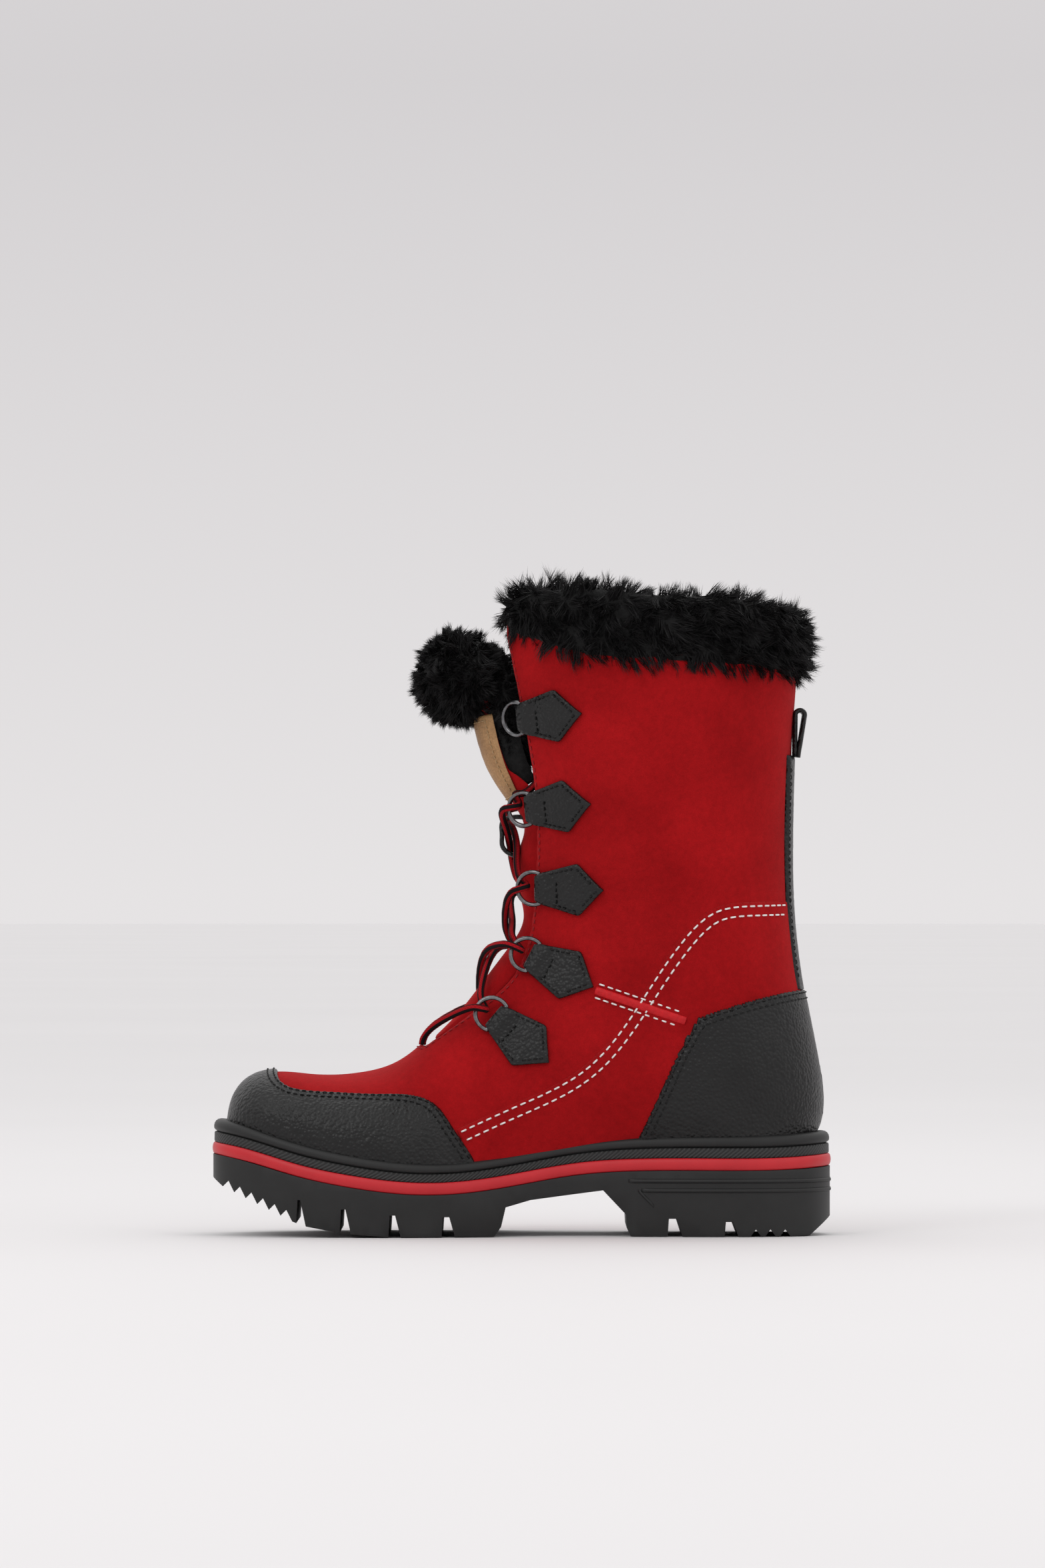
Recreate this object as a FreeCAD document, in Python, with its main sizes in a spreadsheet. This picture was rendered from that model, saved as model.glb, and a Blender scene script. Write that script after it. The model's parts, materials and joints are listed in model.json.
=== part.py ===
import FreeCAD, Part
import math
import os

# Lace-up winter boot, right foot. Millimetres, +Z up, toe towards -X, inner side of the foot towards -Y.
# The origin is on the ground, under the middle of the boot's own box.

from FreeCAD import Matrix, Placement, Vector

doc = FreeCAD.newDocument("winter_boot")

# ---------------------------------------------------------------- driving dimensions

DRIVING_SIZES = {
    "suede_thickness": 1.8,
    "overlay_thickness": 1.5,
    "layer_gap": 0.1,
    "lining_thickness": 4.4,
    "stiffener_thickness": 1.1,
    "collar_proud": 4.5,
    "collar_inside": 9.0,
    "reach": 90.0,
    "stripe_thickness": 5.8,
    "board_thickness": 2.2,
    "footbed_thickness": 5.0,
    "filler_inset": 13.0,
    "shank_width": 16.0,
    "shank_thickness": 1.6,
    "channel_width": 7.0,
    "channel_depth": 6.5,
    "tab_thickness": 2.2,
    "tab_neck": 15.6,
    "tab_width": 24.6,
    "tab_corner": 20.0,
    "tab_length": 31.5,
    "eye_radius": 2.2,
    "eye_length": 12.2,
    "ring_wire": 2.0,
    "ring_outside": 17.3,
    "bar_offset": 2.9,
    "bar_clearance": 0.05,
    "lace_diameter": 3.4,
    "lace_hole_radius": 2.1,
    "strip_width": 28.0,
    "loop_width": 17.0,
    "loop_thickness": 1.5,
    "keeper_width": 7.0,
    "patch_thickness": 1.2,
    "tongue_thickness": 3.0,
}

sheet = doc.addObject("Spreadsheet::Sheet", "sizes")
for row, (alias, value) in enumerate(DRIVING_SIZES.items(), start=1):
    sheet.set(f"A{row}", alias)
    sheet.set(f"B{row}", str(value))
    sheet.setAlias(f"B{row}", alias)
doc.recompute()


def size(alias):
    return float(sheet.get(alias))


REACH = size("reach")
GAP = size("layer_gap")
LACE_RADIUS = size("lace_diameter") / 2

# ---------------------------------------------------------------- the skin of the upper

# Stations along the boot, from the toe over the instep and up the shaft. Each is a plane across the
# boot: (front x, z), (back or feather edge x, z), half width inner side, half width outer side,
# half width of the edge inner side, outer side, middle y, place of the widest point along the chord,
# bluntness of the front, and the direction (x, z) in which the edge grows.
STATIONS = [
    ((-136.5, 51.0), (-134.0, 46.3), 14.2, 14.2, 14.0, 14.0, -3.0, 0.70, 0.60, (-1.0, 0.0)),
    ((-134.5, 62.0), (-125.0, 43.4), 24.5, 24.5, 24.0, 24.0, -3.0, 0.72, 0.60, (-0.7, 0.0)),
    ((-128.5, 71.0), (-113.0, 39.8), 33.5, 32.5, 32.5, 31.5, -2.5, 0.74, 0.58, (-0.4, 0.0)),
    ((-116.0, 75.5), (-98.0, 36.1), 39.7, 39.2, 38.5, 38.0, -1.5, 0.75, 0.56, (-0.1, 0.0)),
    ((-97.0, 74.5), (-80.0, 32.6), 44.3, 44.3, 43.0, 43.0, -0.5, 0.75, 0.56, (0.0, 0.0)),
    ((-78.0, 75.0), (-58.0, 29.4), 46.1, 46.8, 44.8, 45.5, 0.5, 0.74, 0.56, (0.0, 0.0)),
    ((-61.0, 79.0), (-32.0, 29.2), 43.3, 46.8, 42.0, 45.5, 1.0, 0.72, 0.56, (0.0, 0.0)),
    ((-46.0, 89.5), (0.0, 33.5), 37.5, 42.3, 34.5, 41.0, 0.7, 0.68, 0.58, (0.0, 0.0)),
    ((-31.0, 102.5), (40.0, 39.5), 36.2, 38.5, 28.5, 35.0, 0.3, 0.64, 0.62, (0.0, 0.0)),
    ((-17.0, 120.0), (92.0, 40.2), 37.5, 38.0, 31.0, 33.0, 0.0, 0.62, 0.68, (0.0, 0.0)),
    ((-8.0, 133.5), (126.0, 41.5), 38.5, 38.5, 22.5, 22.5, 0.0, 0.64, 0.70, (0.4, 0.0)),
    ((-1.5, 146.0), (138.0, 53.0), 39.2, 39.2, 1.0, 1.0, 0.0, 0.66, 0.70, (1.0, 0.0)),
    ((-0.5, 161.0), (136.2, 85.0), 40.0, 40.0, 1.0, 1.0, 0.0, 0.64, 0.68, (1.0, 0.1)),
    ((-1.5, 179.0), (130.5, 113.0), 41.5, 41.5, 1.0, 1.0, 0.0, 0.60, 0.64, (1.0, 0.15)),
    ((-3.0, 199.0), (126.0, 149.0), 44.0, 44.0, 1.0, 1.0, 0.0, 0.56, 0.60, (1.0, 0.08)),
    ((-5.5, 224.0), (125.3, 192.0), 47.0, 47.0, 1.0, 1.0, 0.0, 0.53, 0.57, (1.0, 0.0)),
    ((-9.5, 254.0), (126.8, 236.0), 49.8, 49.8, 1.0, 1.0, 0.0, 0.51, 0.56, (1.0, 0.0)),
    ((-15.0, 290.0), (130.5, 290.0), 52.0, 52.0, 1.0, 1.0, 0.0, 0.50, 0.55, (1.0, 0.0)),
    ((-17.0, 306.0), (131.5, 308.0), 52.6, 52.6, 1.0, 1.0, 0.0, 0.50, 0.55, (1.0, 0.0)),
]
CLOSED_EDGE = 2.0


def front_normal(index):
    """The outward direction (x, z) of the boot's front line at a station."""
    before = STATIONS[max(index - 1, 0)][0]
    after = STATIONS[min(index + 1, len(STATIONS) - 1)][0]
    run, rise = after[0] - before[0], after[1] - before[1]
    length = math.hypot(run, rise)
    return -rise / length, run / length


def half_station(index, side, offset):
    """The two curves of one side of a station, front to widest point and widest point to edge."""
    front, back, inner, outer, inner_edge, outer_edge, middle, widest, blunt, grow = STATIONS[index]
    width = (inner if side < 0 else outer) + offset
    edge = inner_edge if side < 0 else outer_edge
    if edge > CLOSED_EDGE:
        edge += offset
    normal = front_normal(index)
    front_x, front_z = front[0] + normal[0] * offset, front[1] + normal[1] * offset
    back_x, back_z = back[0] + grow[0] * offset, back[1] + grow[1] * offset
    turn = math.acos(min(edge / width, 0.998))
    bulge = 4 / 3 * math.tan(turn / 4)
    rest = 1 - widest

    def place(along, across):
        return Vector(front_x + (back_x - front_x) * along, middle + side * across,
                      front_z + (back_z - front_z) * along)

    before = [place(0, 0), place(0, blunt * width), place(widest * 0.45, width), place(widest, width)]
    after = [place(widest, width),
             place(widest + rest * bulge / math.sin(turn), width),
             place(1 - bulge * rest * math.cos(turn) / math.sin(turn), edge + bulge * width * math.sin(turn)),
             place(1, edge)]
    return before, after


def bezier(poles):
    curve = Part.BezierCurve()
    curve.setPoles(poles)
    return curve.toShape()


def skin_solid(offset):
    """The whole foot and shaft as one solid, grown by offset."""
    wires = []
    for index in range(len(STATIONS)):
        outer_front, outer_back = half_station(index, 1, offset)
        inner_front, inner_back = half_station(index, -1, offset)
        edges = [bezier(outer_front), bezier(outer_back),
                 Part.makeLine(outer_back[-1], inner_back[-1]),
                 bezier(inner_back[::-1]), bezier(inner_front[::-1])]
        wires.append(Part.Wire(edges))
    return Part.makeLoft(wires, True, False)


# ---------------------------------------------------------------- document helpers

nodes = {}


def keep(name, item):
    """Marks a document object as the sub-part that is written as parts/name.step."""
    item.Label = name
    nodes[name] = item
    return item


def fixed_shape(name, shape):
    item = doc.addObject("Part::Feature", name)
    item.Shape = shape
    return item


def extrude(name, wire, direction, length, symmetric=False):
    """A closed wire made solid along a direction; length is a number or a formula on the sheet."""
    item = doc.addObject("Part::Extrusion", name)
    item.Base = fixed_shape(name + "_outline", wire)
    item.DirMode = "Custom"
    item.Dir = direction
    item.Solid = True
    item.Symmetric = symmetric
    if isinstance(length, str):
        item.setExpression("LengthFwd", length)
    else:
        item.LengthFwd = length
    return item


def boolean(kind, name, base, tool):
    item = doc.addObject("Part::" + kind, name)
    item.Base = base
    item.Tool = tool
    return item


def fuse_all(name, items):
    item = doc.addObject("Part::MultiFuse", name)
    item.Shapes = items
    return item


def outline(*runs):
    """A closed wire. Each run of (x, z) points starts where the last one ended: two points make a
    straight line, more make a smooth curve."""
    edges = []
    for run in runs:
        points = [Vector(x, 0, z) for x, z in run]
        if len(points) == 2:
            edges.append(Part.makeLine(*points))
        else:
            curve = Part.BSplineCurve()
            curve.interpolate(points)
            edges.append(curve.toShape())
    if runs[-1][-1] != runs[0][0]:
        start, end = runs[-1][-1], runs[0][0]
        edges.append(Part.makeLine(Vector(start[0], 0, start[1]), Vector(end[0], 0, end[1])))
    return Part.Wire(edges)


def across(name, wire, side=0):
    """A side outline made solid across the boot, or on one side of its middle only."""
    if side == 0:
        return extrude(name, wire, Vector(0, 1, 0), "2 * sizes.reach", symmetric=True)
    half = extrude(name, wire, Vector(0, side, 0), "sizes.reach")
    half.Placement.Base = Vector(0, side * GAP / 2, 0)
    return half


def raised(line, height):
    return [(x, z + height) for x, z in line]


def band(name, low, high, low_height=0.0, high_height=0.0):
    """The space across the boot between two lines that run from toe to heel."""
    bottom = raised(low, low_height)
    top = raised(high, high_height)
    return across(name, outline(bottom, (bottom[-1], top[-1]), top[::-1]))


def shell(name, outside, inside):
    """The layer between two offsets of the skin, open underneath."""
    outer = fixed_shape(name + "_outside", skin_solid(outside))
    open_below = boolean("Common", name + "_open", outer,
                         band(name + "_above", FEATHER_LINE, FEATHER_LINE, LASTED_EDGE, TOP_OF_ALL))
    inner = fixed_shape(name + "_inside", skin_solid(inside))
    return boolean("Cut", name, open_below, inner)


# ---------------------------------------------------------------- sole

STRIPE_TOP = [(-150.0, 44.0), (-130.0, 40.9), (-105.0, 33.9), (-80.0, 28.7), (-50.0, 25.3), (-25.0, 26.0),
              (0.0, 29.7), (25.0, 33.9), (50.0, 35.8), (80.0, 36.2), (120.0, 36.4), (150.0, 38.3)]
WELT_TOP = [(-150.0, 55.0), (-130.0, 50.9), (-105.0, 43.6), (-80.0, 38.0), (-50.0, 34.1), (-25.0, 34.6),
            (0.0, 38.3), (25.0, 42.8), (50.0, 45.6), (80.0, 46.6), (120.0, 47.0), (150.0, 48.6)]
FEATHER_LINE = [(-150.0, 52.0)] + [station[1] for station in STATIONS[:11]] + [(150.0, 42.5)]
STRIPE_THICKNESS = size("stripe_thickness")
SOLE_TOP = 80.0
LASTED_EDGE = 0.6
TOP_OF_ALL = 290.0

# Seen from above: (x, y), inner side from toe to heel, then the outer side back to the toe.
SOLE_PLAN = [(-144.0, -6.0), (-137.4, -26.0), (-118.0, -39.5), (-88.0, -47.3), (-52.0, -48.6), (-14.0, -40.0),
             (22.0, -33.0), (62.0, -35.0), (104.0, -37.0), (132.0, -27.0), (144.0, 0.0), (132.0, 27.0),
             (104.0, 37.0), (66.0, 37.5), (32.0, 40.5), (-4.0, 48.2), (-44.0, 52.4), (-84.0, 49.6),
             (-114.0, 40.5), (-135.0, 24.0)]


def plan_wire(inset=0.0):
    points = []
    for index, (x, y) in enumerate(SOLE_PLAN):
        after = SOLE_PLAN[(index + 1) % len(SOLE_PLAN)]
        before = SOLE_PLAN[index - 1]
        run, rise = after[0] - before[0], after[1] - before[1]
        length = math.hypot(run, rise)
        points.append(Vector(x - rise / length * inset, y + run / length * inset, 0))
    curve = Part.BSplineCurve()
    curve.interpolate(points, PeriodicFlag=True)
    return Part.Wire(curve.toShape())


def plan_block(name, inset=0.0):
    return extrude(name, plan_wire(inset), Vector(0, 0, 1), SOLE_TOP)


def tooth_row(first, last, count):
    """The points of count small teeth between two tips."""
    depth = 4.0
    points = []
    for index in range(count):
        share = (index + 0.5) / count
        x = first[0] + (last[0] - first[0]) * share
        z = first[1] + (last[1] - first[1]) * share
        points.append((x, z + depth))
        share = (index + 1) / count
        points.append((first[0] + (last[0] - first[0]) * share, first[1] + (last[1] - first[1]) * share))
    return points


def tread_gap(left, right, top, bottom_left=0.0, bottom_right=0.0):
    """A groove across the tread, steep at its front and sloped at its back."""
    return [(left, bottom_left), (left + 0.6, top), (right - 2.6, top), (right, bottom_right)]


def tread_profile():
    """The underside of the outsole from toe to heel, then its top, under the red stripe."""
    underside = [(-150.0, 31.8), (-139.0, 22.8)]
    underside += tooth_row((-139.0, 22.8), (-106.3, 7.2), 6)
    underside += tread_gap(-104.4, -100.0, 17.1, 6.4, 4.9)
    underside += tread_gap(-84.2, -79.0, 12.9, 2.0, 1.4)
    underside += tread_gap(-61.7, -56.0, 10.1)
    underside += tread_gap(-37.1, -31.0, 9.2)
    underside += [(-12.8, 0.0), (-9.6, 4.5), (-7.5, 13.5), (4.0, 16.8), (37.7, 21.2), (48.3, 10.0), (48.6, 4.0),
                  (50.4, 0.0)]
    underside += tread_gap(67.6, 74.4, 8.1)
    underside += tread_gap(94.0, 100.4, 6.7)
    underside += [(106.0, 0.0)]
    for tip in (108.5, 115.3, 122.2):
        underside += [(tip - 2.4, 0.0), (tip, 3.2), (tip + 2.4, 0.0)]
    underside += [(133.7, 0.0), (144.2, 8.9), (144.0, 33.0)]
    edges = [((a[0], a[1]), (b[0], b[1])) for a, b in zip(underside, underside[1:]) if a != b]
    stripe_bottom = raised(STRIPE_TOP, -STRIPE_THICKNESS)
    top = [(150.0, stripe_bottom[-1][1])]
    edges += [((144.0, 33.0), top[0]), tuple(stripe_bottom[::-1]),
              (stripe_bottom[0], (-150.0, 31.8))]
    return outline(*edges)


def make_sole():
    profile = across("tread_profile", tread_profile())
    solid = boolean("Common", "outsole_block", plan_block("outsole_plan"), profile)
    channel = doc.addObject("Part::Box", "tread_channel")
    channel.setExpression("Width", "sizes.channel_width")
    channel.setExpression("Height", "sizes.channel_depth")
    channel.Length = 120.0
    channel.Placement.Base = Vector(-100.0, -size("channel_width") / 2, 0)
    channelled = boolean("Cut", "outsole_channelled", solid, channel)
    rear = extrude("forefoot_rear", Part.makePolygon([
        Vector(-9.0, -60.0, 0), Vector(6.0, 60.0, 0), Vector(36.0, 60.0, 0), Vector(36.0, -60.0, 0),
        Vector(-9.0, -60.0, 0)]), Vector(0, 0, 1), 13.0)
    keep("outsole", boolean("Cut", "outsole_cut", channelled, rear))

    stripe = band("stripe_band", STRIPE_TOP, STRIPE_TOP, -STRIPE_THICKNESS, 0.0)
    keep("midsole_stripe", boolean("Common", "midsole_stripe_cut", plan_block("stripe_plan", 0.6), stripe))

    welt_band = band("welt_band", STRIPE_TOP, WELT_TOP)
    welt_block = boolean("Common", "welt_block", plan_block("welt_plan", 1.0), welt_band)
    upper_room = fixed_shape("welt_room", skin_solid(GAP))
    hollow = boolean("Cut", "welt_hollow", welt_block, upper_room)
    filler_plan = plan_block("filler_plan")
    filler_plan.Base.Shape = plan_wire(size("filler_inset"))
    keep("welt", boolean("Cut", "welt_cut", hollow, filler_plan))

    filler_band = band("filler_band", STRIPE_TOP, FEATHER_LINE, 0.0, -2 * GAP)
    filler_block_plan = plan_block("filler_block_plan", size("filler_inset") + GAP)
    filler = boolean("Common", "filler_block", filler_block_plan, filler_band)
    keep("midsole_filler", boolean("Cut", "filler_cut", filler, shank_bar("shank_pocket", GAP)))
    board_room = band("board_room", FEATHER_LINE, FEATHER_LINE, -2 * GAP, 6.0)
    keep("shank", boolean("Cut", "shank_cut", shank_bar("shank_bar", 0.0), board_room))


def shank_bar(name, clearance):
    """The steel strip under the arch, which follows the underside of the insole board."""
    under = raised(FEATHER_LINE[6:11], -2 * GAP)
    top = raised(under, 1.0)
    bottom = raised(under, -size("shank_thickness") - clearance)
    wire = outline(bottom, (bottom[-1], top[-1]), top[::-1])
    bar = extrude(name, wire, Vector(0, 1, 0), f"sizes.shank_width + {2 * clearance}", symmetric=True)
    return bar


def make_insoles():
    board_space = fixed_shape("board_space", skin_solid(-size("suede_thickness") - 2 * GAP))
    board_band = band("board_band", FEATHER_LINE, FEATHER_LINE, 0.0, size("board_thickness"))
    keep("insole_board", boolean("Common", "board_cut", board_space, board_band))
    inside = LINING_INSIDE - 2 * GAP
    bed_space = fixed_shape("bed_space", skin_solid(inside))
    bed_low = size("board_thickness") + GAP
    bed_band = band("bed_band", FEATHER_LINE, FEATHER_LINE, bed_low, bed_low + size("footbed_thickness"))
    keep("footbed", boolean("Common", "bed_cut", bed_space, bed_band))


# ---------------------------------------------------------------- upper

# Seen from the side, (x, z). The flap edge runs from the throat over the instep and up the shaft.
FLAP_EDGE = [(-45.0, 88.0), (-32.5, 97.0), (-20.0, 106.5), (-5.5, 119.5), (2.5, 137.0), (5.6, 159.0), (6.5, 184.0),
             (4.4, 215.5), (-3.0, 256.0), (-7.5, 279.0)]
SEAM = [(-30.5, 49.5), (-3.1, 61.9), (28.7, 78.9), (51.7, 106.4), (73.0, 137.8), (89.8, 152.4), (108.0, 155.0),
        (150.0, 156.5)]
TOE_EDGE = [(-113.6, 78.5), (-113.8, 74.5), (-110.5, 70.0), (-102.0, 67.2), (-87.0, 66.1), (-66.0, 65.5),
            (-47.5, 64.6), (-41.0, 61.9), (-32.5, 51.4), (-21.6, 34.9), (-17.0, 26.0)]
HEEL_EDGE = [(49.5, 36.0), (53.3, 44.6), (63.0, 65.0), (73.5, 88.0), (81.4, 101.9)]
HEEL_TOP = [(81.4, 101.9), (100.0, 108.0), (131.9, 114.7), (150.0, 116.0)]
COLLAR_LOW = [(-14.0, 284.0), (8.0, 275.0), (26.5, 269.6), (81.4, 265.3), (145.0, 259.0)]
COLLAR_TOP = [(-14.0, 300.0), (22.0, 306.4), (60.0, 303.5), (92.0, 302.4), (117.0, 299.0), (145.0, 289.0)]
SHAFT_TOP = 281.0
VAMP_SEAM = [(-45.0, 88.0), (-12.0, 91.0), (8.0, 82.0), (14.0, 71.5)]
LINING_INSIDE = -size("suede_thickness") - GAP - size("lining_thickness")


def panel(name, layer, wire, side=0):
    return boolean("Common", name + "_cut", layer, across(name + "_prism", wire, side))


def make_upper():
    suede = shell("suede_layer", 0.0, -size("suede_thickness"))
    low = 20.0
    vamp_wire = outline(((-150.0, low), (14.0, low)), ((14.0, low), (14.0, 71.5)), VAMP_SEAM[::-1],
                        ((-45.0, 88.0), (-45.0, 110.0)), ((-45.0, 110.0), (-150.0, 110.0)))
    quarter_space = across("quarter_space", outline(SEAM, ((150.0, 156.5), (150.0, low)),
                                                    ((150.0, low), (-17.0, low)),
                                                    ((-17.0, low), (-30.5, 49.5))))
    vamp = boolean("Cut", "vamp_above_seam", panel("vamp_front", suede, vamp_wire), quarter_space)
    keep("vamp", boolean("Cut", "vamp_with_holes", vamp, lace_holes()))

    shaft_wire = outline(FLAP_EDGE, ((-7.5, 279.0), (-7.5, SHAFT_TOP)), ((-7.5, SHAFT_TOP), (150.0, SHAFT_TOP)),
                         ((150.0, SHAFT_TOP), (150.0, 156.5)), SEAM[:1:-1], ((28.7, 78.9), (14.0, 71.5)),
                         VAMP_SEAM[::-1])
    quarter_wire = outline(SEAM, ((150.0, 156.5), (150.0, low)), ((150.0, low), (-17.0, low)),
                           ((-17.0, low), (-30.5, 49.5)))
    keep("quarter_panel", panel("quarters", suede, quarter_wire))
    for side, word in ((-1, "medial"), (1, "lateral")):
        shaft = panel("shaft_" + word, suede, shaft_wire, side)
        keep("shaft_panel_" + word, boolean("Cut", "shaft_clear_" + word, shaft, quarter_space))

    overlay = shell("overlay_layer", GAP + size("overlay_thickness"), GAP)
    toe_wire = outline(TOE_EDGE, ((-17.0, 26.0), (-150.0, 26.0)), ((-150.0, 26.0), (-150.0, 78.5)))
    heel_wire = outline(HEEL_EDGE, HEEL_TOP, ((150.0, 116.0), (150.0, 36.0)))
    above_welt = band("above_welt", WELT_TOP, WELT_TOP, GAP, 90.0)
    keep("toe_cap", boolean("Common", "toe_cap_above", panel("toe_cap", overlay, toe_wire), above_welt))
    keep("heel_rand", boolean("Common", "heel_rand_above", panel("heel_rand", overlay, heel_wire), above_welt))

    strap_wire = outline(((34.2, 111.9), (77.8, 97.1)), ((77.8, 97.1), (79.2, 100.8)), ((79.2, 100.8), (35.6, 115.6)))
    for side, word in ((-1, "medial"), (1, "lateral")):
        keep("ankle_strap_" + word, panel("ankle_strap_" + word, overlay, strap_wire, side))

    strip_box = doc.addObject("Part::Box", "strip_box")
    strip_box.setExpression("Width", "sizes.strip_width")
    strip_box.Length = 40.0
    strip_box.Height = 105.5
    strip_box.Placement.Base = Vector(100.0, -size("strip_width") / 2, 116.5)
    keep("back_strip", boolean("Common", "back_strip_cut", overlay, strip_box))
    return overlay


def make_inside():
    stiffener_outside = -size("suede_thickness") - GAP
    stiffener_inside = stiffener_outside - size("stiffener_thickness")
    stiffener = shell("stiffener_layer", stiffener_outside, stiffener_inside)
    above_board = band("above_board", FEATHER_LINE, FEATHER_LINE, size("board_thickness") + GAP, 290.0)
    puff_wire = outline(((-150.0, 30.0), (-88.0, 30.0)), ((-88.0, 30.0), (-96.0, 100.0)),
                        ((-96.0, 100.0), (-150.0, 100.0)))
    counter_wire = outline(((72.0, 30.0), (84.0, 92.0)), ((84.0, 92.0), (150.0, 98.0)), ((150.0, 98.0), (150.0, 30.0)))
    keep("toe_puff", boolean("Common", "toe_puff_above", panel("toe_puff", stiffener, puff_wire), above_board))
    keep("heel_counter",
         boolean("Common", "heel_counter_above", panel("heel_counter", stiffener, counter_wire), above_board))

    lining = shell("lining_layer", stiffener_outside, LINING_INSIDE)
    recess_layer = shell("recess_layer", 0.0, stiffener_inside - 2 * GAP)
    front_edge = [(-33.0, 80.0), (-18.0, 92.0), (-4.0, 108.0), (9.0, 128.0), (15.0, 150.0), (16.5, 184.0),
                  (14.0, 225.0), (5.0, 262.0), (2.0, SHAFT_TOP)]
    lining_wire = outline(((-150.0, 20.0), (-150.0, 80.0)), ((-150.0, 80.0), (-33.0, 80.0)), front_edge,
                          ((2.0, SHAFT_TOP), (150.0, SHAFT_TOP)), ((150.0, SHAFT_TOP), (150.0, 20.0)))
    whole = boolean("Common", "lining_above", panel("lining_whole", lining, lining_wire), above_board)
    without_toe = boolean("Cut", "lining_toe_recess", whole, panel("toe_recess", recess_layer, puff_wire))
    lined = boolean("Cut", "lining_heel_recess", without_toe, panel("heel_recess", recess_layer, counter_wire))
    parts = {"lining_vamp": [(-150.0, 20.0), (24.0, 20.0), (24.0, 70.0), (8.0, 125.0), (-150.0, 125.0)],
             "lining_heel": [(24.2, 20.0), (150.0, 20.0), (150.0, 125.0), (8.2, 125.0), (24.2, 70.0)],
             "lining_shaft": [(-40.0, 125.2), (150.0, 125.2), (150.0, 290.0), (-40.0, 290.0)]}
    for name, corners in parts.items():
        keep(name, panel(name, lined, outline(*zip(corners, corners[1:] + corners[:1]))))


def make_collar():
    collar_outside = skin_solid(size("collar_proud"))
    collar_inside = skin_solid(-size("collar_inside"))
    ring = boolean("Cut", "collar_ring", fixed_shape("collar_outer", collar_outside),
                   fixed_shape("collar_inner", collar_inside))
    wire = outline(((-6.0, 300.0), (-6.0, 280.5)), ((-6.0, 280.5), (8.0, 275.0)), COLLAR_LOW[1:],
                   ((145.0, 259.0), (145.0, 289.0)), COLLAR_TOP[:0:-1], ((22.0, 306.4), (-6.0, 300.0)))
    fur = panel("collar_fur", ring, wire)
    walls = boolean("Cut", "wall_room", fixed_shape("wall_outside", skin_solid(GAP)),
                    fixed_shape("wall_inside", skin_solid(LINING_INSIDE - GAP)))
    below = doc.addObject("Part::Box", "below_shaft_top")
    below.Length = 400.0
    below.Width = 200.0
    below.Height = SHAFT_TOP + GAP
    below.Placement.Base = Vector(-200.0, -100.0, 0.0)
    room = boolean("Common", "shaft_room", walls, below)
    parted = boolean("Cut", "collar_parted", fur, room)
    gap = doc.addObject("Part::Box", "collar_gap")
    gap.Length = 40.0
    gap.Width = 44.0
    gap.Height = 80.0
    gap.Placement.Base = Vector(-30.0, -22.0, 240.0)
    keep("fur_collar", boolean("Cut", "collar_cut", parted, gap))


# ---------------------------------------------------------------- tongue

# Stations up the tongue: front (x, z), half width, how far the edges lie behind the front.
TONGUE_LOWER = [((-41.0, 92.0), 6.2, 0.9), ((-31.0, 102.0), 7.8, 1.5), ((-17.5, 119.0), 11.9, 4.0),
                ((-6.5, 133.5), 11.8, 5.0), ((0.6, 147.0), 11.4, 4.8), ((-3.4, 167.0), 12.9, 7.2),
                ((-1.0, 181.0), 14.2, 8.7), ((1.2, 190.0), 13.8, 7.5), ((-0.5, 195.0), 12.0, 5.8)]
TONGUE_UPPER = [((-1.0, 196.0), 10.5, 4.6), ((-7.0, 205.0), 12.0, 6.2), ((-14.5, 217.0), 14.0, 8.6),
                ((-21.0, 237.0), 14.5, 10.0), ((-23.5, 248.0), 14.0, 10.0)]
FUR_CENTRE = Vector(-33.0, 0, 260.5)
FUR_RADIUS = 20.5
FUR_HALF_LENGTH = 10.5


def crescent(stations, index, front_offset, back_offset):
    """A curved strip across the boot at one tongue station, between two offsets from its front."""
    (x, z), half, depth = stations[index]
    before = stations[max(index - 1, 0)][0]
    after = stations[min(index + 1, len(stations) - 1)][0]
    run, rise = after[0] - before[0], after[1] - before[1]
    length = math.hypot(run, rise)
    back_x, back_z = rise / length, -run / length

    def place(behind, y):
        return Vector(x + back_x * behind, y, z + back_z * behind)

    outer = [place(depth + front_offset * 0.7, -half), place(front_offset, 0),
             place(depth + front_offset * 0.7, half)]
    inner = [place(depth + back_offset * 0.9, half * 0.99), place(back_offset, 0),
             place(depth + back_offset * 0.9, -half * 0.99)]
    return Part.Wire([Part.Arc(*outer).toShape(), Part.makeLine(outer[2], inner[0]),
                      Part.Arc(*inner).toShape(), Part.makeLine(inner[2], outer[0])])


def tongue_loft(stations, front_offset, back_offset):
    wires = [crescent(stations, index, front_offset, back_offset) for index in range(len(stations))]
    return Part.makeLoft(wires, True, False)


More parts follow.
